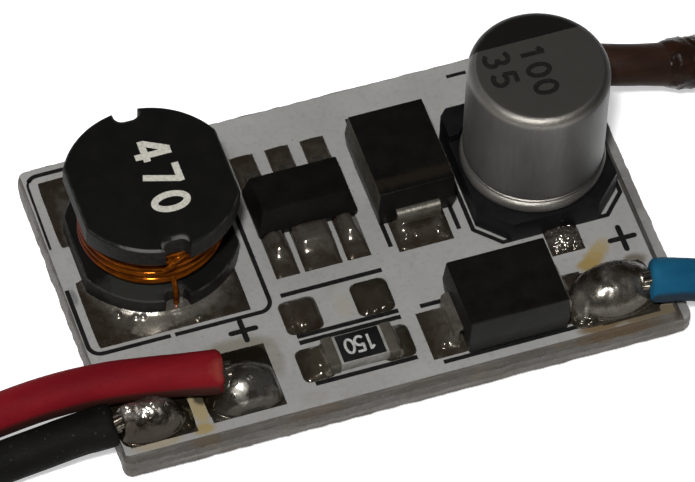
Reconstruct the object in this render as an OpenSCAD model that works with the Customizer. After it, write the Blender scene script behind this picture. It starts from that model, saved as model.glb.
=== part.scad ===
// Driver board for light-emitting diodes: a white-coated metal plate with a drum inductor,
// a can capacitor, a driver chip, two diodes, a sense resistor and four soldered leads.
// Millimetres. The origin is under the middle of the board. +X runs along the long side,
// +Y points away from the resistor's side and +Z points up.

/* [Board] */
// Depth of the board along Y
board_depth = 16.2; // [16.2:0.2:20]
// Thickness of the board with its coat
board_thickness = 1.6; // [1.2:0.1:2.2]
// Thickness of the white coat and of the pads
coat_thickness = 0.06; // [0.05:0.01:0.1]
// Width of the scored bevel along each edge
score_width = 0.25; // [0.15:0.05:0.3]
// Depth of the scored bevel
score_depth = 0.3; // [0.2:0.05:0.4]
// Width of the ledge left standing along the right edge
ledge_width = 0.45; // [0.25:0.05:0.5]
// Radius of the board's corners
corner_radius = 0.4; // [0.2:0.1:0.6]

/* [Layout] */
// Gap between the coat's end and the inductor or the capacitor
edge_gap = 0.3; // [0.2:0.05:3]
// Gap between the inductor and the chip
inductor_chip_gap = 0.7; // [0.5:0.05:3]
// Gap between the chip and the diode behind it in the row
chip_diode_gap = 0.575; // [0.5:0.025:3]
// Gap between that diode and the capacitor
diode_capacitor_gap = 0.525; // [0.4:0.025:3]

/* [Inductor] */
// Diameter of the drum's flanges
drum_diameter = 7.8; // [7.4:0.1:8]
// Width of the drum across its two flats
drum_width = 7; // [6.4:0.1:7.2]
// Height of the inductor above the board
drum_height = 5; // [4:0.1:6]
// Thickness of each flange
flange_thickness = 1.1; // [0.8:0.1:1.4]
// Diameter of the drum's waist
waist_diameter = 3.4; // [3:0.1:4]
// Outside diameter of the winding
winding_diameter = 6.6; // [5:0.1:6.6]
// Diameter of the copper wire
wire_diameter = 0.32; // [0.24:0.02:0.4]
// Width of the notches in the flanges
notch_width = 1.15; // [0.9:0.05:1.4]
// Depth of the notches in the flanges
notch_depth = 0.55; // [0.5:0.05:0.7]

/* [Capacitor] */
// Diameter of the can
can_diameter = 6.3; // [5:0.1:6.3]
// Height of the capacitor above the board
capacitor_height = 8; // [5.5:0.1:10]
// Side of the square base
base_side = 6.6; // [6.6:0.05:6.7]
// Thickness of the base
base_height = 1.3; // [1:0.1:1.6]
// Cut at the two front corners of the base
base_corner_cut = 1.3; // [1:0.1:1.5]
// Rise of the two corner posts above the base
post_rise = 0.5; // [0.3:0.1:0.8]
// Width of the flat terminals
terminal_width = 0.8; // [0.6:0.1:1.2]

/* [Chip] */
// Length of the chip's body along X
chip_length = 4.6; // [4.4:0.05:4.7]
// Depth of the chip's body along Y
chip_depth = 2.5; // [2.4:0.05:2.6]
// Height of the chip above the board
chip_height = 1.5; // [1.3:0.05:1.7]
// Thickness of the chip's leads
chip_lead_thickness = 0.4; // [0.3:0.05:0.45]
// Width of the chip's wide tab
chip_tab_width = 1.6; // [1.4:0.05:1.7]
// Width of the chip's narrow leads
chip_lead_width = 0.6; // [0.4:0.05:0.7]

/* [Diodes] */
// Length of a diode's body
diode_length = 4.7; // [4.4:0.05:4.8]
// Width of a diode's body
diode_width = 3.65; // [3.3:0.05:3.7]
// Height of a diode above the board
diode_height = 2.4; // [2.1:0.05:2.7]
// Width of a diode's leads
diode_lead_width = 2; // [1.7:0.05:2.2]
// Thickness of a diode's leads
diode_lead_thickness = 0.2; // [0.15:0.01:0.25]
// Reach of a diode's leads beyond its body
diode_lead_reach = 0.35; // [0.25:0.05:0.45]

/* [Resistor] */
// Length of the sense resistor
resistor_length = 3.2; // [3:0.05:3.3]
// Width of the sense resistor
resistor_width = 1.6; // [1.4:0.05:1.7]
// Height of the sense resistor
resistor_height = 0.65; // [0.5:0.05:0.8]
// Length of its end caps
cap_length = 0.5; // [0.35:0.05:0.6]

/* [Leads] */
// Diameter of the insulated leads
lead_diameter = 1.9; // [1.7:0.05:2]
// Diameter of the tinned conductor
conductor_diameter = 0.9; // [0.6:0.05:1]
// Length of conductor inside each solder joint
stub_length = 2; // [1.6:0.1:2.2]
// Length of conductor bared at each free end
strip_length = 5; // [3:0.5:7]

/* [Solder] */
// Height of the joints of the leads
joint_height = 1.95; // [1.85:0.05:2.1]
// Height of the two domes on the unused pads
dome_height = 0.42; // [0.3:0.02:0.5]

/* [Hidden] */
$fn = 64;
eps = 0.01;
far = 60;

// Board: it is as long as the row of components needs, and the coat covers the flat top.
components_length = drum_diameter + inductor_chip_gap + chip_length + chip_diode_gap + diode_width
    + diode_capacitor_gap + base_side;
board_length = components_length + 2 * edge_gap + 2 * score_width + ledge_width;
top = board_thickness;
plate_top = board_thickness - coat_thickness;
left = -board_length / 2;
right = board_length / 2;
front = -board_depth / 2;
back = board_depth / 2;
coat_left = left + score_width;
coat_right = right - ledge_width - score_width;
coat_front = front + score_width;
coat_back = back - score_width;
usual_coat_left = -12.75;
usual_coat_right = 12.3;
usual_coat_front = -7.85;
left_shift = coat_left - usual_coat_left;
right_shift = coat_right - usual_coat_right;
front_shift = coat_front - usual_coat_front;
back_shift = -front_shift;

// Places of the components in the long row, from left to right.
inductor_x = coat_left + edge_gap + drum_diameter / 2;
chip_x = inductor_x + drum_diameter / 2 + inductor_chip_gap + chip_length / 2;
catch_x = chip_x + chip_length / 2 + chip_diode_gap + diode_width / 2;
capacitor_x = catch_x + diode_width / 2 + diode_capacitor_gap + base_side / 2;
inductor_y = 2.45;
inductor_pad_shift = -0.3;
inductor_pad_x = inductor_x + inductor_pad_shift;
inductor_pad_offset = 2.8;
inductor_pad_width = 6.85;
inductor_pad_depth = 3.65;
chip_y = 2.45;
chip_pad_pitch = 1.65;
chip_pad_width = 1.1;
chip_tab_pad_width = 1.75;
chip_pad_depth = 2.4;
chip_front_pad_y = 0.2;
chip_back_pad_y = 4.6;
catch_y = 2.55;
input_y = -5.65;
input_pad_shift = -0.2;
diode_pad_shift = 0.3;
diode_pad_offset = diode_length / 2 + diode_pad_shift;
diode_pad_length = 2.3;
diode_pad_width = 2.55;
capacitor_y = 1.05;
capacitor_pad_shift = 0.2;
capacitor_pad_x = capacitor_x + capacitor_pad_shift;
capacitor_pad_offset = 3.3;
capacitor_pad_width = 1.55;
capacitor_pad_depth = 2.5;
resistor_y = -5.75;
resistor_shift = 0.2;
resistor_pad_offset = 1.85;
resistor_pad_width = 1.5;
resistor_pad_depth = 1.75;
spare_y = -3.15;
spare_pad_offset = 1.65;
spare_pad_width = 1.7;
spare_pad_depth = 1.8;
pad_corner = 0.32;

// Places of the front row: the pads of the leads keep to the board's corners, the input diode
// keeps beside the right one, and the resistor stands in the space that is left.
led_minus_size = [3.05, 3.4];
led_plus_size = [3.35, 3.35];
input_plus_size = [2.7, 2.9];
input_minus_size = [2.4, 2.6];
led_minus_inset = [0.125, 0.3];
led_plus_inset = [0.75, 0.475];
input_plus_inset = [0.6, 0.2];
input_minus_inset = [0.15, 0.35];
led_minus_x = coat_left + led_minus_inset[0] + led_minus_size[0] / 2;
led_minus_y = coat_front + led_minus_inset[1] + led_minus_size[1] / 2;
led_plus_x = led_minus_x + led_minus_size[0] / 2 + led_plus_inset[0] + led_plus_size[0] / 2;
led_plus_y = coat_front + led_plus_inset[1] + led_plus_size[1] / 2;
input_plus_x = coat_right - input_plus_inset[0] - input_plus_size[0] / 2;
input_plus_y = coat_front + input_plus_inset[1] + input_plus_size[1] / 2;
input_minus_x = coat_right - input_minus_inset[0] - input_minus_size[0] / 2;
input_minus_y = coat_back - input_minus_inset[1] - input_minus_size[1] / 2;
pad_gap = 0.05;
input_reach = diode_pad_offset + diode_pad_length / 2;
input_x = input_plus_x - input_plus_size[0] / 2 - pad_gap - input_reach;
resistor_reach = resistor_pad_offset + resistor_pad_width / 2;
free_from = led_plus_x + led_plus_size[0] / 2;
free_to = input_x - input_reach;
resistor_share = 0.66;
resistor_pad_x = free_from + resistor_reach + (free_to - free_from - 2 * resistor_reach) * resistor_share;
resistor_x = resistor_pad_x + resistor_shift;
spare_x = resistor_pad_x;

// Pads, each as centre and size on the board: x, y, width, depth.
inductor_pads = [for (side = [-1, 1])
    [inductor_pad_x, inductor_y + side * inductor_pad_offset, inductor_pad_width, inductor_pad_depth]];
chip_side_pads = [for (side = [-1, 1], y = [chip_front_pad_y, chip_back_pad_y])
    [chip_x + side * chip_pad_pitch, y, chip_pad_width, chip_pad_depth]];
chip_tab_pads = [
    [chip_x, chip_front_pad_y, chip_tab_pad_width, chip_pad_depth],
    [chip_x, chip_back_pad_y, chip_pad_width, chip_pad_depth]];
catch_pads = [for (side = [-1, 1])
    [catch_x, catch_y + side * diode_pad_offset, diode_pad_width, diode_pad_length]];
input_pads = [for (side = [-1, 1])
    [input_x + side * diode_pad_offset, input_y + input_pad_shift, diode_pad_length, diode_pad_width]];
capacitor_pads = [for (side = [-1, 1])
    [capacitor_pad_x, capacitor_y + side * capacitor_pad_offset, capacitor_pad_width, capacitor_pad_depth]];
resistor_pads = [for (side = [-1, 1])
    [resistor_pad_x + side * resistor_pad_offset, resistor_y,
        resistor_pad_width, resistor_pad_depth, pad_corner]];
spare_pads = [for (side = [-1, 1])
    [spare_x + side * spare_pad_offset, spare_y,
        spare_pad_width, spare_pad_depth, pad_corner]];
led_minus_pad = concat([led_minus_x, led_minus_y], led_minus_size);
led_plus_pad = concat([led_plus_x, led_plus_y], led_plus_size);
input_plus_pad = concat([input_plus_x, input_plus_y], input_plus_size);
input_minus_pad = concat([input_minus_x, input_minus_y], input_minus_size);
lead_pads = [led_minus_pad, led_plus_pad, input_plus_pad, input_minus_pad];
all_pads = concat(inductor_pads, chip_side_pads, chip_tab_pads, catch_pads, input_pads,
    capacitor_pads, resistor_pads, spare_pads, lead_pads);

// Inductor: the winding's turns fill the height between the flanges.
terminal_plate = 0.1;
terminal_start = 1.9;
notch_round = 0.4;
turns_bottom = terminal_plate + flange_thickness;
turns_height = drum_height - flange_thickness - turns_bottom;
turn_count = floor(turns_height / wire_diameter);
turn_pitch = turns_height / turn_count;
winding_radius = winding_diameter / 2;
tail_offset = -0.15;
tail_radius = wire_diameter / 2;
tail_gap = 0.03;
tail_lift = 0.1;
tail_swell = 0.01;
tail_reach = drum_diameter / 2 - notch_depth + tail_radius + tail_gap;
tail_rise = 0.12;

// Capacitor: the can stands on the base, and the terminals lie in slots under it.
base_gap = 0.05;
back_corner_cut = 0.35;
post_side = 1.6;
post_gap = 0.05;
curl_flare = 0.1;
curl_radius = 0.35;
groove_radius = 0.2;
groove_rise = 0.9;
rim_radius = 0.5;
terminal_thickness = 0.2;
terminal_inner = 1.1;
terminal_reach = 0.55;
can_bottom = base_gap + base_height;

// Chip: the front face slopes more than the back.
chip_gap = 0.05;
chip_side_slope = 0.3;
chip_front_slope = 0.45;
chip_back_slope = 0.15;
chip_lead_pitch = 1.58;
chip_lead_reach = 0.85;
chip_lead_hold = 0.5;

// Diodes: the body is widest at its parting line, where the leads come out.
diode_draft = 0.1;
diode_parting = 1.1;
diode_lead_hold = 0.4;
diode_foot = 1.2;
diode_fillet = 0.6;
diode_fillet_rise = 0.55;

// Resistor: plated end caps around a ceramic chip.
plating = 0.05;
glaze_thickness = 0.05;
glaze_margin = 0.12;
resistor_fillet = 0.55;

// Solder: each pillow thins out to a small edge at the corners of its pad.
solder_edge = 0.03;
pillow_low = 0.14;
pillow_mid = 0.24;
pillow_high = 0.34;
pillow_facets = 320;
mound_steps = 7;
joint_low_height = 1.5;
led_minus_off = [-0.1, -0.65];
led_plus_off = [0.15, -0.05];
input_plus_off = [-0.05, -0.1];
input_bridge_off = [-1.15, 0.1];
input_minus_off = [-0.25, 0];
led_minus_mound = [led_minus_x, led_minus_y] + led_minus_off;
led_plus_mound = [led_plus_x, led_plus_y] + led_plus_off;
input_plus_mound = [input_plus_x, input_plus_y] + input_plus_off;
input_bridge = [input_plus_x, input_plus_y] + input_bridge_off;
input_minus_mound = [input_minus_x, input_minus_y] + input_minus_off;
led_minus_spread = 1.05;
led_plus_spread = 1.5;
input_plus_spread = 1.3;
input_bridge_spread = 1.2;
input_minus_spread = 1.15;
sleeve_gap = 0.02;

// Leads: routes as x, y and lift, where a lift of 1 is the height of a joint and 0 lies flat.
lead_radius = lead_diameter / 2;
conductor_radius = conductor_diameter / 2;
lead_gap = 0.2;
lead_sides = 8;
lump_swell = 0.24;
lump_ring = 4;
lump_rings = 1.6;
red_points = [
    [-8.1, -5.6, 1], [-9.6, -5.3, 1], [-11.2, -5, 1], [-13, -4.7, 0.97],
    [-15.3, -4.5, 0.86], [-17.6, -4.4, 0.58], [-20, -4.4, 0.25], [-22.4, -4.4, 0.03],
    [-24.8, -4.4, 0], [-27.2, -4.1, 0], [-29.4, -3, 0], [-30.8, -1, 0],
    [-30.9, 1.4, 0], [-29.6, 3.4, 0], [-27.6, 4.8, 0], [-25.4, 5.8, 0]];
black_points = [
    [-13.3, -6.5, 0.7], [-14.7, -6.4, 0.56], [-16.3, -6.4, 0.4], [-18.2, -6.4, 0.2],
    [-20.4, -6.6, 0.05], [-22.8, -6.9, 0], [-25.3, -7.2, 0], [-27.8, -7.2, 0],
    [-30.3, -6.6, 0], [-32.6, -5.3, 0], [-34.2, -3.3, 0], [-35, -0.9, 0],
    [-34.8, 1.7, 0], [-33.6, 4, 0], [-31.7, 5.9, 0], [-29.4, 7.1, 0]];
blue_points = [
    [11.7, -6.7, 0.95], [12.6, -6.9, 0.92], [13.6, -7.1, 0.8], [15.4, -7.3, 0.53],
    [17.6, -7.4, 0.25], [20, -7.2, 0.04], [22.2, -6.4, 0], [24.2, -5.1, 0],
    [25.9, -3.4, 0], [27.6, -1.7, 0], [29.5, -0.3, 0], [31.7, 0.5, 0],
    [34, 0.6, 0], [36.2, 0, 0], [38.3, -1.1, 0], [40.3, -2.4, 0]];
brown_points = [
    [11.6, 5.9, 0.95], [12.6, 5.4, 0.95], [13.8, 5, 0.9], [15.2, 4.7, 0.8],
    [17.5, 4.5, 0.53], [20, 4.7, 0.25], [22.3, 5.3, 0.04], [24.6, 6.2, 0],
    [26.9, 7, 0], [29.3, 7.3, 0], [31.7, 7, 0], [34, 6.2, 0],
    [36.2, 5.2, 0], [38.4, 4.3, 0], [40.7, 3.8, 0], [43, 3.8, 0]];
red_route = placed(red_points, left_shift, front_shift);
black_route = placed(black_points, left_shift, front_shift);
blue_route = placed(blue_points, right_shift, front_shift);
brown_route = placed(brown_points, right_shift, back_shift);

function placed(points, dx, dy) = [for (p = points)
    [p[0] + dx, p[1] + dy, lead_radius + p[2] * (board_thickness + lead_gap)]];
function unit(v) = v / norm(v);
function heading(route, i) = unit(route[min(i + 1, len(route) - 1)] - route[max(i - 1, 0)]);
function across(t) = unit(cross(t, [0, 0, 1]));
function ring(p, t, r) = [for (k = [0 : lead_sides - 1])
    let (a = -90 + k * 360 / lead_sides)
    p + r * cos(a) * across(t) + r * sin(a) * cross(across(t), t)];
function swell(i, amount) = amount * max(0, 1 - abs(i - lump_ring) / lump_rings);
function bell(i) = (1 + cos(180 * i / mound_steps)) / 2;
function pillow_radius(pad, height) = (pow(norm([pad[2], pad[3]]) / 2, 2) + pow(height - solder_edge, 2))
    / (2 * (height - solder_edge));

module pad_outline(width, depth, corner) {
    square([width - 2 * corner, depth], center = true);
    if (corner > 0) {
        square([width, depth - 2 * corner], center = true);
        for (sx = [-1, 1], sy = [-1, 1])
            translate([sx * (width / 2 - corner), sy * (depth / 2 - corner)])
                circle(r = corner);
    }
}

module pad_block(pad, height) {
    translate([pad[0], pad[1], 0])
        linear_extrude(height = height)
            pad_outline(pad[2], pad[3], len(pad) > 4 ? pad[4] : 0);
}

module pillow(pad, height) {
    intersection() {
        translate([0, 0, top])
            pad_block(pad, height + eps);
        translate([pad[0], pad[1], top + height - pillow_radius(pad, height)])
            sphere(r = pillow_radius(pad, height), $fn = pillow_facets);
    }
}

module rod(from, direction, length, r) {
    u = unit(direction);
    translate(from)
        rotate([0, acos(u[2]), atan2(u[1], u[0])])
            cylinder(r = r, h = length);
}

module drafted_block(x_profile, y_profile) {
    intersection() {
        rotate([90, 0, 0])
            linear_extrude(height = far, center = true)
                polygon(x_profile);
        rotate([90, 0, 90])
            linear_extrude(height = far, center = true)
                polygon(y_profile);
    }
}

module board_outline() {
    inner_length = board_length - 2 * corner_radius;
    inner_depth = board_depth - 2 * corner_radius;
    square([inner_length, board_depth], center = true);
    square([board_length, inner_depth], center = true);
    for (sx = [-1, 1], sy = [-1, 1])
        translate([sx * inner_length / 2, sy * inner_depth / 2])
            circle(r = corner_radius);
}

module board_plate() {
    x_profile = [
        [left + score_width, 0], [left, score_depth], [left, plate_top - score_depth],
        [left + score_width, plate_top], [coat_right, plate_top],
        [coat_right + score_width, plate_top - score_depth], [right, plate_top - score_depth],
        [right, score_depth], [coat_right + score_width, score_depth], [coat_right, 0]];
    y_profile = [
        [front + score_width, 0], [front, score_depth], [front, plate_top - score_depth],
        [front + score_width, plate_top], [back - score_width, plate_top],
        [back, plate_top - score_depth], [back, score_depth], [back - score_width, 0]];
    color([0.6, 0.59, 0.57])
        intersection() {
            drafted_block(x_profile, y_profile);
            linear_extrude(height = board_thickness)
                board_outline();
        }
}

module white_coat() {
    color([0.9, 0.9, 0.88])
        translate([0, 0, plate_top])
            difference() {
                linear_extrude(height = coat_thickness)
                    intersection() {
                        translate([coat_left, coat_front])
                            square([coat_right - coat_left, coat_back - coat_front]);
                        board_outline();
                    }
                for (pad = all_pads)
                    translate([0, 0, -eps])
                        pad_block(pad, coat_thickness + 2 * eps);
            }
}

module tinned_pads() {
    color([0.66, 0.64, 0.6])
        translate([0, 0, plate_top])
            for (pad = all_pads)
                pad_block(pad, coat_thickness);
}

module notch_shape() {
    half = notch_width / 2 - notch_round;
    deep = notch_depth - notch_round;
    square([notch_width, 2 * deep], center = true);
    square([2 * half, 2 * notch_depth], center = true);
    for (x = [-half, half], y = [-deep, deep])
        translate([x, y])
            circle(r = notch_round);
}

module flange_shape() {
    difference() {
        intersection() {
            circle(d = drum_diameter);
            square([drum_width, 2 * drum_diameter], center = true);
        }
        for (side = [-1, 1])
            translate([0, side * drum_diameter / 2])
                notch_shape();
    }
}

module at_inductor() {
    translate([inductor_x, inductor_y, top])
        children();
}

module drum() {
    translate([0, 0, terminal_plate])
        linear_extrude(height = flange_thickness)
            flange_shape();
    translate([0, 0, terminal_plate])
        cylinder(d = waist_diameter, h = drum_height - terminal_plate);
    translate([0, 0, drum_height - flange_thickness])
        linear_extrude(height = flange_thickness)
            flange_shape();
}

module winding() {
    translate([0, 0, turns_bottom])
        rotate_extrude() {
            translate([waist_diameter / 2, 0])
                square([winding_radius - turn_pitch / 2 - waist_diameter / 2, turns_height]);
            for (i = [0 : turn_count - 1])
                translate([winding_radius - turn_pitch / 2, (i + 0.5) * turn_pitch])
                    circle(d = turn_pitch);
        }
}

module tail() {
    bend = [0, -tail_reach, turns_bottom + tail_lift];
    foot = [0, -tail_reach, tail_rise];
    start = [0, -winding_radius + turn_pitch, turns_bottom + 1.5 * turn_pitch];
    rod(start, bend - start, norm(bend - start), tail_radius);
    translate(bend)
        sphere(r = tail_radius + tail_swell);
    rod(foot, [0, 0, 1], bend[2] - foot[2], tail_radius);
}

module tails() {
    for (turn = [0, 180])
        rotate([0, 0, turn])
            translate([tail_offset, 0, 0])
                tail();
}

module terminals() {
    linear_extrude(height = terminal_plate)
        intersection() {
            flange_shape();
            for (side = [-1, 1])
                translate([0, side * (terminal_start + drum_diameter / 2)])
                    square([2 * drum_diameter, drum_diameter], center = true);
        }
}

module inductor_drum() {
    color([0.14, 0.14, 0.15])
        at_inductor()
            drum();
}

module inductor_winding() {
    color([0.72, 0.36, 0.12])
        at_inductor()
            winding();
}

module inductor_tails() {
    color([0.72, 0.36, 0.12])
        at_inductor()
            difference() {
                tails();
                translate([0, 0, turns_bottom])
                    cylinder(r = winding_radius, h = turns_height);
            }
}

module inductor_terminals() {
    color([0.75, 0.74, 0.72])
        at_inductor()
            terminals();
}

module inductor_solder() {
    color([0.62, 0.61, 0.6])
        difference() {
            for (pad = inductor_pads)
                pillow(pad, pillow_mid);
            at_inductor() {
                drum();
                terminals();
                tails();
            }
        }
}

module at_capacitor() {
    translate([capacitor_x, capacitor_y, top])
        children();
}

module can_profile() {
    can_radius = can_diameter / 2;
    can_length = capacitor_height - can_bottom;
    difference() {
        union() {
            square([can_radius, can_length - rim_radius]);
            square([can_radius - rim_radius, can_length]);
            translate([can_radius - rim_radius, can_length - rim_radius])
                circle(r = rim_radius);
            translate([can_radius + curl_flare - curl_radius, curl_radius])
                circle(r = curl_radius);
        }
        translate([can_radius + groove_radius / 2, groove_rise])
            circle(r = groove_radius);
    }
}

module base_shape() {
    half = base_side / 2;
    polygon([
        [base_corner_cut - half, -half], [half - base_corner_cut, -half],
        [half, base_corner_cut - half], [half, half - back_corner_cut],
        [half - back_corner_cut, half], [back_corner_cut - half, half],
        [-half, half - back_corner_cut], [-half, base_corner_cut - half]]);
}

module cap_terminals() {
    inner_to_tip = base_side / 2 + terminal_reach - terminal_inner;
    for (side = [-1, 1])
        translate([-terminal_width / 2, side * (terminal_inner + inner_to_tip / 2) - inner_to_tip / 2, 0])
            cube([terminal_width, inner_to_tip, terminal_thickness]);
}

module cap_base() {
    post_hole = can_diameter / 2 + curl_flare + post_gap;
    difference() {
        union() {
            translate([0, 0, base_gap])
                linear_extrude(height = base_height)
                    base_shape();
            translate([0, 0, base_gap])
                linear_extrude(height = base_height + post_rise)
                    difference() {
                        intersection() {
                            base_shape();
                            for (side = [-1, 1])
                                translate([side * base_side / 2, base_side / 2])
                                    square(2 * post_side, center = true);
                        }
                        circle(r = post_hole);
                    }
        }
        cap_terminals();
    }
}

module capacitor_can() {
    color([0.72, 0.71, 0.7])
        at_capacitor()
            translate([0, 0, can_bottom])
                rotate_extrude()
                    can_profile();
}

module capacitor_base() {
    color([0.12, 0.12, 0.13])
        at_capacitor()
            cap_base();
}

module capacitor_terminals() {
    color([0.75, 0.74, 0.72])
        at_capacitor()
            cap_terminals();
}

module capacitor_solder() {
    color([0.62, 0.61, 0.6])
        difference() {
            for (pad = capacitor_pads)
                pillow(pad, pillow_high);
            at_capacitor() {
                cap_base();
                cap_terminals();
            }
        }
}

module at_chip() {
    translate([chip_x, chip_y, top])
        children();
}

module chip_strips() {
    front_tip = -chip_depth / 2 - chip_lead_reach;
    hold = chip_lead_reach + chip_lead_hold;
    back_in = chip_depth / 2 - chip_lead_hold;
    for (side = [-1, 1], y = [front_tip, back_in])
        translate([side * chip_lead_pitch - chip_lead_width / 2, y, 0])
            cube([chip_lead_width, hold, chip_lead_thickness]);
    translate([-chip_tab_width / 2, front_tip, 0])
        cube([chip_tab_width, chip_depth + chip_lead_reach, chip_lead_thickness]);
    translate([-chip_lead_width / 2, back_in, 0])
        cube([chip_lead_width, hold, chip_lead_thickness]);
}

module chip_block() {
    wide = chip_length / 2;
    deep = chip_depth / 2;
    drafted_block(
        [[-wide, chip_gap], [wide, chip_gap],
            [wide - chip_side_slope, chip_height], [chip_side_slope - wide, chip_height]],
        [[-deep, chip_gap], [deep, chip_gap],
            [deep - chip_back_slope, chip_height], [chip_front_slope - deep, chip_height]]);
}

module chip_body() {
    color([0.13, 0.13, 0.14])
        at_chip()
            difference() {
                chip_block();
                chip_strips();
            }
}

module chip_leads() {
    color([0.72, 0.71, 0.69])
        at_chip()
            chip_strips();
}

module chip_solder() {
    color([0.62, 0.61, 0.6])
        difference() {
            for (pad = concat(chip_side_pads, chip_tab_pads))
                pillow(pad, pillow_high);
            at_chip() {
                chip_block();
                chip_strips();
            }
        }
}

module at_catch() {
    translate([catch_x, catch_y, top])
        rotate([0, 0, 90])
            children();
}

module at_input() {
    translate([input_x, input_y, top])
        children();
}

module diode_lead_shape() {
    tip = diode_length / 2 + diode_lead_reach;
    root = diode_length / 2 - diode_lead_hold;
    t = diode_lead_thickness;
    polygon([
        [root, diode_parting + t / 2], [tip, diode_parting + t / 2], [tip, 0], [tip - diode_foot, 0],
        [tip - diode_foot, t], [tip - t, t], [tip - t, diode_parting - t / 2],
        [root, diode_parting - t / 2]]);
}

module diode_leads() {
    for (turn = [0, 180])
        rotate([90, 0, turn])
            linear_extrude(height = diode_lead_width, center = true)
                diode_lead_shape();
}

module diode_block() {
    long = diode_length / 2;
    wide = diode_width / 2;
    low = diode_lead_thickness;
    drafted_block(
        [[diode_draft - long, low], [long - diode_draft, low], [long, diode_parting],
            [long - diode_draft, diode_height], [diode_draft - long, diode_height],
            [-long, diode_parting]],
        [[diode_draft - wide, low], [wide - diode_draft, low], [wide, diode_parting],
            [wide - diode_draft, diode_height], [diode_draft - wide, diode_height],
            [-wide, diode_parting]]);
}

module diode_body() {
    difference() {
        diode_block();
        diode_leads();
    }
}

module diode_fillets() {
    tip = diode_length / 2 + diode_lead_reach;
    for (turn = [0, 180])
        rotate([90, 0, turn])
            linear_extrude(height = diode_lead_width, center = true)
                polygon([
                    [tip, 0], [tip + diode_fillet, 0],
                    [tip + diode_fillet / 3, diode_fillet_rise / 3], [tip, diode_fillet_rise]]);
}

module catch_diode_body() {
    color([0.13, 0.13, 0.13])
        at_catch()
            diode_body();
}

module catch_diode_leads() {
    color([0.72, 0.71, 0.69])
        at_catch()
            diode_leads();
}

module catch_diode_solder() {
    color([0.62, 0.61, 0.6])
        difference() {
            union() {
                for (pad = catch_pads)
                    pillow(pad, pillow_low);
                at_catch()
                    diode_fillets();
            }
            at_catch()
                diode_leads();
        }
}

module input_diode_body() {
    color([0.13, 0.13, 0.13])
        at_input()
            diode_body();
}

module input_diode_leads() {
    color([0.72, 0.71, 0.69])
        at_input()
            diode_leads();
}

module input_joints() {
    difference() {
        union() {
            for (pad = input_pads)
                pillow(pad, pillow_low);
            at_input()
                diode_fillets();
        }
        at_input()
            diode_leads();
    }
}

module input_diode_solder() {
    color([0.62, 0.61, 0.6])
        input_joints();
}

module at_resistor() {
    translate([resistor_x, resistor_y, top])
        children();
}

module resistor_chip() {
    translate([plating - resistor_length / 2, plating - resistor_width / 2, plating])
        cube([resistor_length - 2 * plating, resistor_width - 2 * plating,
            resistor_height - 2 * plating]);
}

module resistor_block() {
    for (x = [-resistor_length / 2, resistor_length / 2 - cap_length])
        translate([x, -resistor_width / 2, 0])
            cube([cap_length, resistor_width, resistor_height]);
}

module resistor_body() {
    color([0.86, 0.85, 0.82])
        at_resistor()
            resistor_chip();
}

module resistor_glaze() {
    glaze_length = resistor_length - 2 * cap_length - 2 * glaze_margin / 3;
    glaze_width = resistor_width - 2 * glaze_margin;
    color([0.08, 0.08, 0.08])
        at_resistor()
            translate([-glaze_length / 2, -glaze_width / 2, resistor_height - plating])
                cube([glaze_length, glaze_width, glaze_thickness]);
}

module resistor_caps() {
    color([0.75, 0.74, 0.72])
        at_resistor()
            difference() {
                resistor_block();
                resistor_chip();
            }
}

module resistor_solder() {
    color([0.62, 0.61, 0.6])
        difference() {
            union() {
                for (pad = resistor_pads)
                    pillow(pad, pillow_mid);
                at_resistor()
                    for (turn = [0, 180])
                        rotate([90, 0, turn])
                            linear_extrude(height = resistor_width, center = true)
                                polygon([
                                    [resistor_length / 2, 0],
                                    [resistor_length / 2 + resistor_fillet, 0],
                                    [resistor_length / 2 + resistor_fillet / 3, resistor_height / 3],
                                    [resistor_length / 2, resistor_height * 0.8]]);
            }
            at_resistor() {
                resistor_block();
                resistor_chip();
            }
        }
}

module spare_pad_solder() {
    color([0.62, 0.61, 0.6])
        for (pad = spare_pads)
            pillow(pad, dome_height);
}

module mound(place, spread, height) {
    translate([place[0], place[1], top])
        rotate_extrude()
            polygon(concat([[0, 0]],
                [for (i = [mound_steps : -1 : 0]) [spread * i / mound_steps, height * bell(i)]]));
}

module stub(route) {
    rod(route[0], route[0] - route[1], stub_length, conductor_radius);
}

module tip(route) {
    last = len(route) - 1;
    rod(route[last], route[last] - route[last - 1], strip_length, conductor_radius);
}

module sleeve(route) {
    rod(route[0], route[1] - route[0], norm(route[1] - route[0]), lead_radius + sleeve_gap);
}

module joint(pad, route) {
    difference() {
        union() {
            pillow(pad, pillow_low);
            children();
        }
        stub(route);
        sleeve(route);
    }
}

module led_plus_solder() {
    color([0.62, 0.61, 0.6])
        joint(led_plus_pad, red_route)
            mound(led_plus_mound, led_plus_spread, joint_height);
}

module led_minus_solder() {
    color([0.62, 0.61, 0.6])
        joint(led_minus_pad, black_route)
            mound(led_minus_mound, led_minus_spread, joint_low_height);
}

module input_plus_solder() {
    color([0.62, 0.61, 0.6])
        difference() {
            joint(input_plus_pad, blue_route) {
                mound(input_plus_mound, input_plus_spread, joint_height);
                mound(input_bridge, input_bridge_spread, joint_low_height);
            }
            input_joints();
        }
}

module input_minus_solder() {
    color([0.62, 0.61, 0.6])
        joint(input_minus_pad, brown_route)
            mound(input_minus_mound, input_minus_spread, joint_height);
}

module swept(route, lump) {
    count = len(route);
    points = [for (i = [0 : count - 1])
        each ring(route[i], heading(route, i), lead_radius + swell(i, lump))];
    sides = [for (i = [0 : count - 2], k = [0 : lead_sides - 1])
        let (a = i * lead_sides + k, b = i * lead_sides + (k + 1) % lead_sides)
        [a, a + lead_sides, b + lead_sides, b]];
    first_end = [for (k = [0 : lead_sides - 1]) k];
    last_end = [for (k = [lead_sides - 1 : -1 : 0]) (count - 1) * lead_sides + k];
    polyhedron(points = points, faces = concat(sides, [first_end], [last_end]));
}

module red_lead() {
    color([0.62, 0.1, 0.14])
        swept(red_route, 0);
}

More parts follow.
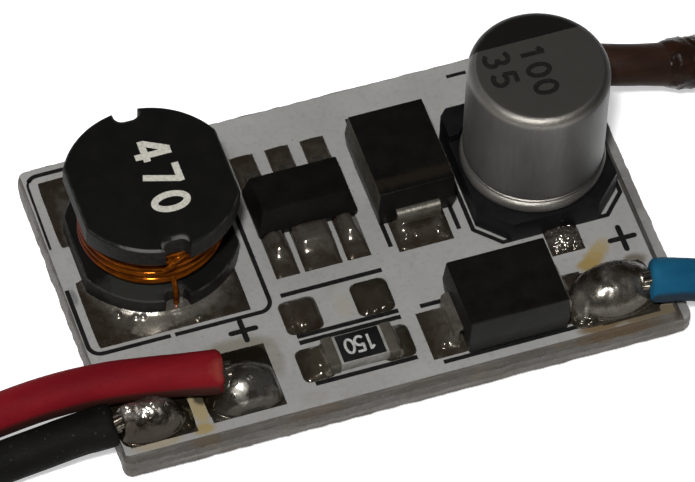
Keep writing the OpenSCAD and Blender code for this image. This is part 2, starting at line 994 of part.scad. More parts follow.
module black_lead() {
    color([0.1, 0.1, 0.1])
        swept(black_route, 0);
}

module blue_lead() {
    color([0.05, 0.36, 0.55])
        swept(blue_route, 0);
}

module brown_lead() {
    color([0.25, 0.17, 0.13])
        swept(brown_route, lump_swell);
}

module bare_ends(route) {
    color([0.75, 0.74, 0.72]) {
        stub(route);
        tip(route);
    }
}

module red_lead_ends() {
    bare_ends(red_route);
}

module black_lead_ends() {
    bare_ends(black_route);
}

module blue_lead_ends() {
    bare_ends(blue_route);
}

module brown_lead_ends() {
    bare_ends(brown_route);
}

board_plate();
white_coat();
tinned_pads();
inductor_drum();
inductor_winding();
inductor_tails();
inductor_terminals();
inductor_solder();
capacitor_can();
capacitor_base();
capacitor_terminals();
capacitor_solder();
chip_body();
chip_leads();
chip_solder();
catch_diode_body();
catch_diode_leads();
catch_diode_solder();
input_diode_body();
input_diode_leads();
input_diode_solder();
resistor_body();
resistor_glaze();
resistor_caps();
resistor_solder();
spare_pad_solder();
led_plus_solder();
led_minus_solder();
input_plus_solder();
input_minus_solder();
red_lead();
black_lead();
blue_lead();
brown_lead();
red_lead_ends();
black_lead_ends();
blue_lead_ends();
brown_lead_ends();
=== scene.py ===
import math

import bmesh
import bpy
from mathutils import Matrix, Vector, noise


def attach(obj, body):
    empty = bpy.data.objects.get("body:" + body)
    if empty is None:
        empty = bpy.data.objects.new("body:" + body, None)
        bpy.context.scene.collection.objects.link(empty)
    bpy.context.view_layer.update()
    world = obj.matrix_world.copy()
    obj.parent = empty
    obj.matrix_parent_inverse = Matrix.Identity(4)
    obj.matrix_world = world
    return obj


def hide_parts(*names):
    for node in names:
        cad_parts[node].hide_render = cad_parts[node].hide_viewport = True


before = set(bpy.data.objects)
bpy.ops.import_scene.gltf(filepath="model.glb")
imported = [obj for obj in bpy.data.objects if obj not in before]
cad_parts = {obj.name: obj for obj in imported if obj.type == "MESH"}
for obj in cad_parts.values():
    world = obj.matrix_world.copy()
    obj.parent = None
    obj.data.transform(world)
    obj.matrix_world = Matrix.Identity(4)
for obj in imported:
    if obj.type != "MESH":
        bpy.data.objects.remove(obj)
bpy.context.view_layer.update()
scene = bpy.context.scene

# All sizes and places below are in millimetres, unless a comment says otherwise.

MM = 0.001
TOP = 1.6
UPWARD = Vector((0, 0, 1))

# Camera, fitted to the corners of the board and to the bodies on it

AZIMUTH = math.radians(-21.015)
ELEVATION = math.radians(54.835)
ROLL = math.radians(2.877)
BOARD_CORNER = Vector((-13.35, -8.15, TOP))
EYE_RIGHT, EYE_UP, EYE_BACK = 9.814, 9.605, 300
FOCAL_PIXELS, PHOTO_PIXELS = 6968.383, 695
SENSOR = 36

level = Vector((math.cos(AZIMUTH), math.sin(AZIMUTH), 0))
back = Vector((math.sin(AZIMUTH) * math.cos(ELEVATION), -math.cos(AZIMUTH) * math.cos(ELEVATION),
               math.sin(ELEVATION)))
steep = back.cross(level)
right = level * math.cos(ROLL) + steep * math.sin(ROLL)
up = steep * math.cos(ROLL) - level * math.sin(ROLL)


def camera():
    data = bpy.data.cameras.new("camera")
    data.sensor_fit = "HORIZONTAL"
    data.sensor_width = SENSOR
    data.lens = FOCAL_PIXELS * SENSOR / PHOTO_PIXELS
    data.clip_start, data.clip_end = 0.01, 50
    place = (right * EYE_RIGHT + up * EYE_UP + back * EYE_BACK + BOARD_CORNER) * MM
    eye = bpy.data.objects.new("camera", data)
    eye.matrix_world = Matrix((
        (right.x, up.x, back.x, place.x), (right.y, up.y, back.y, place.y),
        (right.z, up.z, back.z, place.z), (0, 0, 0, 1)))
    scene.collection.objects.link(eye)
    scene.camera = eye


camera()
scene.view_settings.view_transform = "Standard"


# Node helpers

class Nodes:
    """The node tree of a material or a world, with short ways to add nodes and link them."""

    def __init__(self, owner):
        owner.use_nodes = True
        self.tree = owner.node_tree
        self.tree.nodes.clear()

    def feed(self, socket, value):
        """Link another node's output to a socket, or set the socket's own value."""
        if hasattr(value, "is_output"):
            self.tree.links.new(value, socket)
        elif socket.type == "RGBA":
            socket.default_value = (*value, 1)
        else:
            socket.default_value = value

    def node(self, kind, out=0, props=None, **inputs):
        """Add a node and return one output. Inputs go by name, or as i0, i1 and so on by number."""
        n = self.tree.nodes.new(kind)
        for key, value in (props or {}).items():
            setattr(n, key, value)
        for key, value in inputs.items():
            numbered = key[0] == "i" and key[1:].isdigit()
            self.feed(n.inputs[int(key[1:]) if numbered else key.replace("_", " ")], value)
        return n.outputs[out] if n.outputs else None

    def math(self, op, a, b=0.0):
        return self.node("ShaderNodeMath", props={"operation": op}, i0=a, i1=b)

    def times(self, a, b):
        return self.math("MULTIPLY", a, b)

    def ramp(self, fac, *stops):
        """A colour ramp through stops of (position, colour or grey)."""
        n = self.tree.nodes.new("ShaderNodeValToRGB")
        elements = n.color_ramp.elements
        while len(elements) < len(stops):
            elements.new(0.5)
        for element, (position, colour) in zip(elements, stops):
            element.position = position
            element.color = (*colour, 1) if isinstance(colour, (tuple, list)) else (colour, colour, colour, 1)
        self.tree.links.new(fac, n.inputs[0])
        return n.outputs[0]


class Mat(Nodes):
    """A principled material with textures in object space."""

    def __init__(self, name, **sockets):
        self.material = bpy.data.materials.new(name)
        super().__init__(self.material)
        self.shader = self.tree.nodes.new("ShaderNodeBsdfPrincipled")
        self.node("ShaderNodeOutputMaterial", i0=self.shader.outputs[0])
        self.place = self.node("ShaderNodeTexCoord", out="Object")
        for key, value in sockets.items():
            self.put(key.replace("_", " "), value)

    def put(self, socket, value):
        self.feed(self.shader.inputs[socket], value)

    def at(self, where=(0, 0, 0), size=(1, 1, 1)):
        """Object space moved to where and scaled so that size is one."""
        return self.node("ShaderNodeMapping", props={"vector_type": "TEXTURE"}, Vector=self.place,
                         Location=[v * MM for v in where], Scale=[v * MM for v in size])

    def noise(self, size=1.0, detail=4.0, rough=0.55, stretch=(1, 1, 1), warp=0.0):
        return self.node("ShaderNodeTexNoise", Vector=self.at(size=[size * s for s in stretch]),
                         Scale=1.0, Detail=detail, Roughness=rough, Distortion=warp)

    def pits(self, size, amount, reach):
        """Small round spots, strongest in their middle, one in each cell of a size."""
        cells = self.node("ShaderNodeTexVoronoi", props={"feature": "F1"}, Vector=self.at(size=[size] * 3),
                          Scale=1.0)
        return self.ramp(cells, (0.0, amount), (reach, 0))

    def mix(self, fac, a, b, blend="MIX"):
        return self.node("ShaderNodeMix", out=2, props={"data_type": "RGBA", "blend_type": blend},
                         i0=fac, i6=a, i7=b)

    def tint(self, colour, mask, amount, other):
        """Mix in another colour where a mask lies, by an amount."""
        return self.mix(self.times(mask, amount), colour, other)

    def patch(self, colour, texture, start, full, amount, other):
        """Mix in another colour from where a texture passes start, up to an amount where it is full."""
        return self.mix(self.ramp(texture, (start, 0), (full, amount)), colour, other)

    def span(self, texture, low, high):
        """The usual range of a texture, turned into a range of values or colours."""
        return self.ramp(texture, (0.3, low), (0.7, high))

    def centred(self, value, amount):
        """A texture from 0 to 1 turned into a change of an amount either way."""
        return self.times(self.math("SUBTRACT", value, 0.5), amount)

    def spot(self, x, y, rx, ry, ragged=0.5, z=TOP, rz=1.0, size=0.5):
        """A soft ellipsoid around a point, with a ragged rim."""
        ball = self.node("ShaderNodeTexGradient", out=1, props={"gradient_type": "SPHERICAL"},
                         Vector=self.at((x, y, z), (rx, ry, rz)))
        inside = self.math("MINIMUM", self.times(ball, 6.0), 1.0)
        rag = self.times(self.centred(self.noise(size, 5), ragged * 2), inside)
        return self.ramp(self.math("ADD", ball, rag), (0.12, 0), (0.5, 1))

    def part(self, axis, vector):
        return self.node("ShaderNodeSeparateXYZ", out="XYZ".index(axis), Vector=vector)

    def axis(self, which):
        """A coordinate of the point that is shaded."""
        return self.part(which, self.at())

    def normal(self):
        return self.node("ShaderNodeNewGeometry", out="Normal")

    def facing(self, which):
        """How far the surface faces along an axis, from -1 to 1."""
        return self.part(which, self.normal())

    def share(self, value):
        """A value from -1 to 1 brought to 0 to 1, as a ramp needs it."""
        return self.math("ADD", self.times(value, 0.5), 0.5)

    def done(self, colour, roughness, *bumps):
        """Set the colour, the roughness and the bumps, each as a texture and its depth."""
        self.put("Base Color", colour)
        self.put("Roughness", roughness)
        below = {}
        for height, depth in bumps:
            below["Normal"] = self.node("ShaderNodeBump", Strength=1.0, Distance=depth * MM, Height=height,
                                        **below)
        self.put("Normal", below["Normal"])
        return self.material


# Materials

COAT_STAINS = (  # x, y, half length, half width, amount and colour
    (9.5, -4.4, 0.7, 0.5, 0.9, (0.24, 0.165, 0.048)),
    (9.85, -4.1, 0.65, 0.5, 0.8, (0.25, 0.175, 0.055)),
    (10.15, -3.8, 0.6, 0.5, 0.7, (0.26, 0.19, 0.07)),
    (10.45, -3.5, 0.5, 0.45, 0.6, (0.27, 0.21, 0.10)),
    (11.5, -4.75, 0.8, 0.5, 0.8, (0.085, 0.066, 0.044)),
    (-9.2, -6.1, 0.55, 1.7, 0.75, (0.30, 0.23, 0.09)),
    (-9.3, -7.5, 0.7, 0.4, 0.8, (0.26, 0.19, 0.06)),
    (-6.7, -3.95, 2.1, 0.75, 0.6, (0.12, 0.10, 0.06)),
    (-5.25, -4.9, 0.55, 1.5, 0.45, (0.13, 0.115, 0.08)),
    (-12.62, 0.75, 0.22, 0.6, 0.6, (0.06, 0.062, 0.066)),
    (-9.0, -5.95, 0.45, 0.5, 0.9, (0.025, 0.02, 0.013)),
    (-12.4, -3.6, 0.4, 0.8, 0.5, (0.15, 0.145, 0.13)),
    (-11.4, -7.6, 1.6, 0.4, 0.5, (0.27, 0.20, 0.09)),
    (9.0, -7.6, 1.6, 0.5, 0.9, (0.115, 0.072, 0.028)),
    (11.2, -7.65, 2.3, 0.6, 0.9, (0.105, 0.076, 0.038)),
    (-4.2, -7.4, 1.0, 0.5, 0.3, (0.20, 0.18, 0.15)),
    (-1.5, -3.2, 0.5, 0.9, 0.35, (0.28, 0.24, 0.16)))


def coat_material():
    """White lacquer with grime, flux stains and dark specks."""
    m = Mat("white_lacquer", Specular_IOR_Level=0.45)
    fine = m.noise(0.22, 5, 0.65)
    c = m.span(m.noise(3.2, 3), (0.245, 0.242, 0.233), (0.285, 0.282, 0.272))
    c = m.patch(c, fine, 0.52, 0.74, 0.5, (0.17, 0.162, 0.148))
    c = m.patch(c, m.noise(1.3, 6, 0.6, warp=0.6), 0.56, 0.72, 0.45, (0.215, 0.205, 0.185))
    for x, y, rx, ry, amount, stain in COAT_STAINS:
        c = m.tint(c, m.spot(x, y, rx, ry, 0.22), amount, stain)
    c = m.mix(m.pits(0.8, 0.8, 0.075), c, (0.06, 0.055, 0.048))
    return m.done(c, m.span(m.noise(0.9, 4), 0.34, 0.52), (m.noise(0.9, 3), 0.012), (fine, 0.006))


def plate_material():
    """The snapped metal edge: streaks along it, a dull upper band, brown flux, a pale right ledge and painted
    shade on the left end.
    """
    m = Mat("board_edge", Metallic=0.35)
    streak = m.noise(0.5, 6, 0.7, stretch=(5, 5, 0.35))
    grit = m.noise(0.16, 5, 0.7)
    c = m.ramp(streak, (0.3, (0.066, 0.055, 0.043)), (0.5, (0.115, 0.103, 0.089)),
               (0.68, (0.185, 0.173, 0.158)))
    height = m.math("ADD", m.axis("Z"), m.centred(grit, 0.35))
    band = m.ramp(height, (0.0, 0.55), (0.35, 0.75), (0.62, 1.0), (0.74, 0.62), (0.8, 0.5), (0.92, 0.55))
    c = m.mix(1.0, c, band, "MULTIPLY")
    c = m.patch(c, m.noise(1.6, 4), 0.52, 0.7, 0.6, (0.085, 0.062, 0.038))
    c = m.patch(c, grit, 0.63, 0.72, 0.5, (0.30, 0.285, 0.26))
    for x, rx, amount in ((9.6, 2.6, 0.85), (-9.4, 0.9, 0.6), (-4.0, 1.5, 0.35)):
        c = m.tint(c, m.spot(x, -8.0, rx, 0.6, 0.3, 1.35, 0.5), amount, (0.060, 0.036, 0.013))
    ledge = m.times(m.math("GREATER_THAN", m.facing("Z"), 0.9), m.math("GREATER_THAN", m.axis("X"), 12.62))
    c = m.mix(ledge, c, m.ramp(streak, (0.3, (0.20, 0.195, 0.185)), (0.65, (0.32, 0.315, 0.30))))
    # Painted shade: the faces at the left end are darkened.
    painted_shade_left_end = m.math("LESS_THAN", m.facing("X"), -0.7)
    c = m.tint(c, painted_shade_left_end, 0.45, (0.050, 0.042, 0.036))
    return m.done(c, m.span(grit, 0.42, 0.62), (streak, 0.05), (grit, 0.04))


def print_material():
    m = Mat("black_print", Specular_IOR_Level=0.15)
    worn = m.noise(0.14, 5, 0.7)
    c = m.ramp(worn, (0.35, (0.0038, 0.0036, 0.0036)), (0.72, (0.013, 0.0125, 0.012)))
    return m.done(c, m.span(worn, 0.42, 0.6), (worn, 0.006))


def mark_material(name, light, dark):
    m = Mat(name, Specular_IOR_Level=0.2)
    worn = m.noise(0.13, 5, 0.7)
    return m.done(m.ramp(worn, (0.36, dark), (0.56, light)), 0.55, (worn, 0.004))


def solder_material(name, low, high, levels, brown=0.5, rough=(0.12, 0.26), metal=0.6, grain=(0.6, 0.012),
                    stains=(), lights=()):
    """Solder that goes from one colour to another between two levels, with dried flux and dark pits.

    Grain is the size and depth of its lumps. Stains are dark (x, y, half length, half width, amount), and
    lights are painted highlights, the same with a pale colour.
    """
    m = Mat(name, Metallic=metal, Coat_Weight=0.3, Coat_Roughness=0.06)
    lumps = m.noise(grain[0], 3, 0.5)
    fine = m.noise(0.11, 4, 0.6)
    rise = m.math("DIVIDE", m.math("SUBTRACT", m.axis("Z"), levels[0]), levels[1] - levels[0])
    rise = m.math("ADD", rise, m.centred(m.noise(0.6, 3, 0.5), 0.9))
    c = m.patch(low, rise, 0.1, 0.8, 1, high)
    c = m.patch(c, m.noise(0.8, 5, 0.65, warp=0.4), 0.48, 0.62, brown, (0.036, 0.022, 0.011))
    c = m.mix(m.pits(0.42, 0.6, 0.16), c, (0.012, 0.008, 0.005))
    # Painted highlights: pale spots where the solder shines.
    for x, y, rx, ry, amount, pale in lights:
        c = m.tint(c, m.spot(x, y, rx, ry, 0.6, 1.9, 2.0, 0.3), amount, pale)
    for x, y, rx, ry, amount in stains:
        c = m.tint(c, m.spot(x, y, rx, ry, 0.3, 2.3, 2.0), amount, (0.020, 0.013, 0.006))
    return m.done(c, m.span(fine, *rough), (lumps, grain[1]), (fine, 0.0012))


def ferrite_material():
    """Black ferrite: greyer upright faces with painted shade on left-facing ones, worn edges with painted
    sheen.
    """
    m = Mat("ferrite", Specular_IOR_Level=0.12)
    fine = m.noise(0.09, 4, 0.7)
    slope = m.facing("Z")
    c = m.span(m.noise(1.1, 5), (0.0024, 0.0023, 0.0021), (0.0046, 0.0043, 0.0038))
    c = m.patch(c, fine, 0.62, 0.78, 0.5, (0.012, 0.011, 0.010))
    upright = m.ramp(m.math("ABSOLUTE", slope), (0.25, 1), (0.8, 0))
    # Painted shade: upright faces that look left get little of the grey.
    turned = m.ramp(m.share(m.facing("X")), (0.02, 0.1), (0.15, 0.3), (0.32, 1.0))
    side = m.times(upright, turned)
    c = m.tint(c, m.spot(-10.0, -0.3, 2.4, 1.8, 0.4, 2.6, 0.9, 0.6), 0.6, (0.030, 0.030, 0.026))
    mottle = m.ramp(m.noise(0.35, 5, stretch=(1, 1, 0.4)), (0.35, 0.25), (0.7, 0.8))
    c = m.tint(c, side, mottle, (0.021, 0.0205, 0.0195))
    # Paler along the rounded edges: wear, and a painted sheen.
    off_rim = m.math("ABSOLUTE", m.math("SUBTRACT", slope, 0.7))
    rim = m.math("MAXIMUM", m.math("SUBTRACT", 1.0, m.times(off_rim, 5.0)), 0.0)
    c = m.tint(c, rim, m.ramp(m.noise(0.5, 6, 0.7), (0.42, 0), (0.6, 0.9)), (0.036, 0.0345, 0.032))
    # Painted highlight: a pale streak along the front top edge of the upper flange, where the light glints.
    edge = m.ramp(slope, (0.3, 0), (0.5, 1), (0.9, 1), (0.97, 0))
    for x, y, z, r, amount in ((-9.95, -1.1, 6.5, 1.3, 0.9), (-8.3, -0.95, 6.5, 0.5, 0.7)):
        streak = m.spot(x, y, r, r, 0.6, z, 1.0, 0.25)
        c = m.tint(c, streak, m.times(edge, amount), (0.095, 0.092, 0.087))
    roughness = m.mix(side, m.span(fine, 0.5, 0.68), (0.36, 0.36, 0.36))
    return m.done(c, roughness, (fine, 0.012), (m.noise(0.4, 3), 0.02))


def copper_material():
    """Enamelled wire, with painted shade towards the left of the drum."""
    m = Mat("enamelled_copper", Metallic=0.65, Specular_IOR_Level=0.2, Specular_Tint=(0.5, 0.2, 0.05))
    c = m.span(m.noise(0.7, 4, stretch=(1, 1, 0.3)), (0.085, 0.021, 0.0016), (0.25, 0.068, 0.0055))
    c = m.patch(c, m.noise(0.3, 5), 0.55, 0.75, 0.55, (0.07, 0.022, 0.006))
    # Painted shade: the turns are darkened towards the left of the drum.
    painted_shade_across_drum = m.times(m.math("ADD", m.axis("X"), 12.0), 0.4)
    c = m.mix(1.0, c, m.ramp(painted_shade_across_drum, (0.0, 0.3), (0.6, 1.0)), "MULTIPLY")
    return m.done(c, m.span(m.noise(0.25, 3), 0.09, 0.17), (m.noise(0.5, 2), 0.004))


def can_material():
    """Drawn aluminium: a top painted darker, an inked rear part, a painted highlight on the front rim and
    painted shade on the right side.
    """
    m = Mat("can_aluminium", Specular_IOR_Level=0.2)
    fine = m.noise(0.07, 4, 0.65)
    drawn = m.noise(0.12, 4, 0.6, stretch=(1, 1, 14))
    slope = m.facing("Z")
    c = m.span(drawn, (0.128, 0.123, 0.116), (0.162, 0.157, 0.148))
    c = m.patch(c, m.noise(1.4, 4), 0.45, 0.7, 0.4, (0.120, 0.113, 0.105))
    c = m.patch(c, fine, 0.62, 0.78, 0.3, (0.30, 0.29, 0.275))
    # Painted shade: the flat top is darkened.
    flat = m.math("GREATER_THAN", slope, 0.97)
    c = m.tint(c, flat, 0.85, (0.050, 0.046, 0.040))
    # Painted highlight: the rim is paler and more metallic where it faces the front.
    rim = m.ramp(slope, (0.2, 0), (0.45, 1), (0.93, 1), (0.972, 0))
    rim = m.times(rim, m.ramp(fine, (0.35, 0.45), (0.6, 1)))
    rim = m.times(rim, m.ramp(m.share(m.facing("Y")), (0.28, 1), (0.46, 0.15)))
    c = m.mix(rim, c, (0.28, 0.262, 0.232))
    # Painted shade on the right side.
    shade = m.ramp(m.share(m.facing("X")), (0.0, 0.70), (0.48, 0.86), (0.72, 0.22), (0.95, 0.12))
    c = m.mix(m.math("SUBTRACT", 1.0, flat), c, m.mix(1.0, c, shade, "MULTIPLY"))
    inked = m.math("GREATER_THAN", m.math("ADD", m.axis("Y"), m.times(fine, 0.06)), 2.62)
    inked = m.times(inked, m.math("GREATER_THAN", m.axis("Z"), 9.25))
    c = m.mix(inked, c, (0.0065, 0.006, 0.0055))
    m.put("Metallic", m.times(m.math("ADD", 0.5, m.times(rim, 0.4)), m.math("SUBTRACT", 1.0, inked)))
    return m.done(c, m.span(fine, 0.30, 0.46), (fine, 0.016), (drawn, 0.004))


MOULD_DARK, MOULD_PALE = (0.0034, 0.0032, 0.0027), (0.0066, 0.0061, 0.0052)


def plastic_material(name, low, high, rough=(0.32, 0.5), specks=None, banded=False):
    """A moulding with fine specks. A banded one has a worn brown band on its top and a left side painted
    paler, as painted light.
    """
    m = Mat(name, Specular_IOR_Level=0.09)
    fine = m.noise(0.12, 4, 0.65)
    c = m.ramp(m.noise(0.9, 5, 0.6), (0.32, low), (0.7, high))
    c = m.patch(c, fine, 0.62, 0.8, 0.5, specks or [v * 2.0 + 0.006 for v in high])
    if banded:
        worn = m.centred(m.noise(0.3, 5, 0.65), 0.35)
        off_band = m.math("ABSOLUTE", m.math("SUBTRACT", m.math("ADD", m.axis("Y"), worn), 0.87))
        on_top = m.math("GREATER_THAN", m.axis("Z"), 3.9)
        c = m.tint(c, m.ramp(off_band, (0.16, 0.75), (0.36, 0)), on_top, (0.0130, 0.0096, 0.0064))
        # Painted light: the faces that look left are made paler.
        left = m.math("LESS_THAN", m.facing("X"), -0.8)
        c = m.tint(c, left, m.ramp(m.noise(0.7, 4), (0.3, 0.5), (0.65, 0.95)), (0.052, 0.047, 0.036))
    return m.done(c, m.span(fine, *rough), (fine, 0.010), (m.noise(0.6, 3), 0.012))


def ceramic_material():
    m = Mat("resistor_ceramic")
    c = m.span(m.noise(0.3, 5), (0.15, 0.145, 0.13), (0.24, 0.235, 0.215))
    c = m.patch(c, m.noise(0.5, 4), 0.52, 0.7, 0.5, (0.11, 0.09, 0.06))
    return m.done(c, 0.55, (m.noise(0.1, 4), 0.006))


def metal_material(name, dark, pale, rough=(0.22, 0.4), metal=0.9):
    m = Mat(name, Metallic=metal)
    fine = m.noise(0.14, 4, 0.6)
    c = m.ramp(m.noise(0.5, 4), (0.32, dark), (0.68, pale))
    c = m.patch(c, fine, 0.6, 0.75, 0.4, [v * 0.5 for v in dark])
    return m.done(c, m.span(fine, *rough), (fine, 0.01))


LIT_FROM = (0.246, 0.780, 0.575)  # the underside of a lead faces away from this direction and gets painted shade


def wire_material(name, dark, mid, pale, scorch=None, specks=0.0, rough=(0.55, 0.75), shine=0.05, underside_shade=0.0):
    """Insulation, with an optional scorched end, pale specks and painted shade along its underside."""
    m = Mat(name, Specular_IOR_Level=shine)
    fine = m.noise(0.13, 5, 0.65)
    c = m.ramp(m.noise(1.5, 4, stretch=(2.5, 1, 1)), (0.3, dark), (0.5, mid), (0.72, pale))
    c = m.patch(c, fine, 0.58, 0.78, 0.4, [v * 0.45 for v in dark])
    if scorch:
        x, y, z, r, burnt = scorch
        c = m.tint(c, m.spot(x, y, r, r, 0.5, z, r), 0.5, burnt)
    if specks:
        c = m.mix(m.pits(0.35, specks, 0.16), c, (0.22, 0.21, 0.19))
    # Painted shade: the underside of the lead is darkened.
    if underside_shade:
        lit = m.node("ShaderNodeVectorMath", out=1, props={"operation": "DOT_PRODUCT"},
                     i0=m.normal(), i1=LIT_FROM)
        c = m.mix(m.ramp(m.share(lit), (0.14, underside_shade), (0.24, 0)), c, (0.016, 0.012, 0.009))
    return m.done(c, m.span(fine, *rough), (m.noise(0.5, 4, stretch=(3, 1, 1)), 0.03), (fine, 0.012))


COAT = coat_material()
PLATE = plate_material()
PRINT = print_material()
WHITE_MARK = mark_material("white_mark", (0.50, 0.485, 0.425), (0.34, 0.33, 0.285))
GREY_MARK = mark_material("resistor_mark", (0.42, 0.42, 0.40), (0.20, 0.20, 0.19))
DARK_MARK = mark_material("can_mark", (0.0055, 0.005, 0.0046), (0.014, 0.013, 0.012))
# Painted shade: its stain along the catch diode's front lead stands for the shade under the lead's bend.
PAD_SOLDER = solder_material(
    "pad_solder", (0.054, 0.043, 0.031), (0.115, 0.101, 0.084), (1.64, 2.0),
    stains=((3.05, -0.28, 1.1, 0.32, 0.75),))
# The lights given to the solders below are painted highlights.
SPARE_SOLDER = solder_material(
    "spare_solder", (0.041, 0.033, 0.022), (0.072, 0.061, 0.044), (1.64, 2.0), rough=(0.10, 0.2),
    lights=((-3.4, -5.9, 1.0, 1.1, 0.6, (0.085, 0.074, 0.052)),))
GRAINY_SOLDER = solder_material(
    "grainy_solder", (0.070, 0.056, 0.044), (0.20, 0.18, 0.155), (1.64, 2.0), brown=0.4, rough=(0.12, 0.22),
    metal=0.8, grain=(0.16, 0.05))
DRUM_SOLDER = solder_material(
    "drum_solder", (0.060, 0.047, 0.034), (0.20, 0.185, 0.16), (1.66, 2.0), rough=(0.2, 0.32),
    metal=0.7, grain=(0.4, 0.014),
    lights=((-9.7, -1.75, 1.3, 0.6, 0.9, (0.32, 0.29, 0.235)),
            (-8.6, -1.55, 2.2, 0.6, 0.6, (0.17, 0.155, 0.13)),
            (-7.2, -1.2, 0.9, 0.5, 0.6, (0.20, 0.185, 0.16))))
DULL_SOLDER = solder_material(
    "dull_solder", (0.050, 0.040, 0.028), (0.10, 0.085, 0.065), (1.62, 1.95), brown=0.6, rough=(0.3, 0.5))
MINUS_SOLDER = solder_material(
    "minus_solder", (0.036, 0.028, 0.018), (0.38, 0.345, 0.31), (2.25, 2.95), brown=0.7, rough=(0.2, 0.34),
    metal=0.8, grain=(0.28, 0.03),
    stains=((-10.55, -6.75, 0.8, 0.6, 0.85), (-11.3, -7.3, 1.6, 0.5, 0.8), (-12.1, -7.2, 1.2, 0.6, 0.8)),
    lights=((-11.75, -6.75, 0.8, 0.55, 0.8, (0.46, 0.43, 0.39)),))
PLUS_SOLDER = solder_material(
    "plus_solder", (0.032, 0.028, 0.020), (0.066, 0.060, 0.049), (1.8, 3.0), brown=0.25, rough=(0.24, 0.34),
    metal=0.75, grain=(0.6, 0.006),
    stains=((-8.6, -6.3, 0.9, 0.8, 0.9), (-6.9, -4.6, 1.9, 0.8, 0.75)),
    lights=((-6.5, -6.4, 1.2, 0.9, 0.7, (0.13, 0.122, 0.11)),
            (-7.4, -6.7, 0.5, 0.6, 0.8, (0.40, 0.38, 0.34))))
SUPPLY_SOLDER = solder_material(
    "supply_solder", (0.052, 0.045, 0.033), (0.155, 0.143, 0.123), (2.0, 3.1), rough=(0.22, 0.34),
    metal=0.75, grain=(0.45, 0.016),
    stains=((9.0, -5.4, 1.0, 0.9, 0.7), (9.23, -5.99, 0.4, 0.5, 0.9), (10.9, -5.8, 1.5, 1.0, 0.85)),
    lights=((8.2, -6.6, 0.5, 0.8, 0.8, (0.30, 0.28, 0.24)),))
CAP_TIN = metal_material("resistor_ends", (0.062, 0.054, 0.043), (0.098, 0.087, 0.071), (0.3, 0.45), 0.35)
FERRITE = ferrite_material()
COPPER = copper_material()
CAN = can_material()
BASE = plastic_material("capacitor_base", (0.004, 0.004, 0.0045), (0.008, 0.008, 0.0085))
MOULD = plastic_material("moulding", MOULD_DARK, MOULD_PALE, (0.28, 0.46))
BANDED = plastic_material("banded_moulding", MOULD_DARK, MOULD_PALE, (0.28, 0.46), (0.019, 0.018, 0.016),
                          banded=True)
CERAMIC = ceramic_material()
GLAZE = plastic_material("resistor_glaze", (0.006, 0.006, 0.0065), (0.012, 0.012, 0.012))
TIN = metal_material("tinned", (0.11, 0.095, 0.075), (0.24, 0.22, 0.19))
BRIGHT_TIN = metal_material("bright_tin", (0.20, 0.182, 0.15), (0.33, 0.305, 0.26), (0.3, 0.46))
STRAND = metal_material("strands", (0.065, 0.054, 0.041), (0.15, 0.132, 0.108), (0.25, 0.4))
# The paler spot at the red lead's end is scorch with a painted highlight on it.
RED = wire_material("red_insulation", (0.105, 0.004, 0.0066), (0.132, 0.0048, 0.008), (0.16, 0.007, 0.0105),
                    scorch=(-8.1, -5.9, 3.4, 0.7, (0.20, 0.042, 0.030)), underside_shade=0.85)
BLACK = wire_material("black_insulation", (0.0030, 0.0028, 0.0025), (0.0048, 0.0046, 0.0041),
                      (0.0080, 0.0076, 0.0068), specks=0.15)
BLUE = wire_material("blue_insulation", (0.004, 0.048, 0.098), (0.006, 0.066, 0.128), (0.011, 0.09, 0.16),
                     scorch=(11.9, -6.8, 2.7, 1.0, (0.03, 0.11, 0.15)), underside_shade=0.75)
BROWN = wire_material("brown_insulation", (0.011, 0.006, 0.0042), (0.022, 0.011, 0.0075),
                      (0.034, 0.018, 0.012), rough=(0.35, 0.55))
MELT = wire_material("melted_insulation", (0.006, 0.0034, 0.0024), (0.014, 0.0070, 0.0046),
                     (0.036, 0.013, 0.0075), rough=(0.14, 0.3), shine=0.09)


# Mesh helpers

class Shape:
    """Collects points and faces, and turns them into one mesh."""

    def __init__(self):
        self.points, self.faces = [], []

    def add(self, points):
        first = len(self.points)
        self.points.extend((x * MM, y * MM, z * MM) for x, y, z in points)
        return list(range(first, len(self.points)))

    def loft(self, rings, joined=False):
        """A skin over closed rings, capped at both ends or joined into a loop."""
        ids = [self.add(r) for r in rings]
        pairs = list(zip(ids, ids[1:])) + ([(ids[-1], ids[0])] if joined else [])
        for a, b in pairs:
            for i in range(len(a)):
                j = (i + 1) % len(a)
                self.faces.append((a[i], a[j], b[j], b[i]))
        if not joined:
            self.faces.append(tuple(reversed(ids[0])))
            self.faces.append(tuple(ids[-1]))

    def mesh(self, name, bevel=0.0, segments=2, angle=30):
        """The mesh, with a bevel on the edges that turn by more than an angle in degrees."""
        mesh = bpy.data.meshes.new(name)
        mesh.from_pydata(self.points, [], self.faces)
        bm = bmesh.new()
        bm.from_mesh(mesh)
        bmesh.ops.remove_doubles(bm, verts=bm.verts, dist=1e-7)
        bmesh.ops.recalc_face_normals(bm, faces=bm.faces)
        if bevel:
            sharp = math.radians(angle)
            edges = [e for e in bm.edges if len(e.link_faces) == 2 and e.calc_face_angle(0) > sharp]
            bmesh.ops.bevel(bm, geom=edges, offset=bevel * MM, segments=segments, profile=0.6,
                            affect="EDGES", clamp_overlap=True)
        bm.to_mesh(mesh)
        bm.free()
        return mesh


def place(name, data, slot, *nodes):
    """Put an object in the scene on the root body, in the place of its CAD nodes."""
    o = bpy.data.objects.new(name, data)
    scene.collection.objects.link(o)
    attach(o, "root")
    if nodes:
        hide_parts(*nodes)
    return o


def dress(mesh, material):
    mesh.materials.clear()
    mesh.materials.append(material)


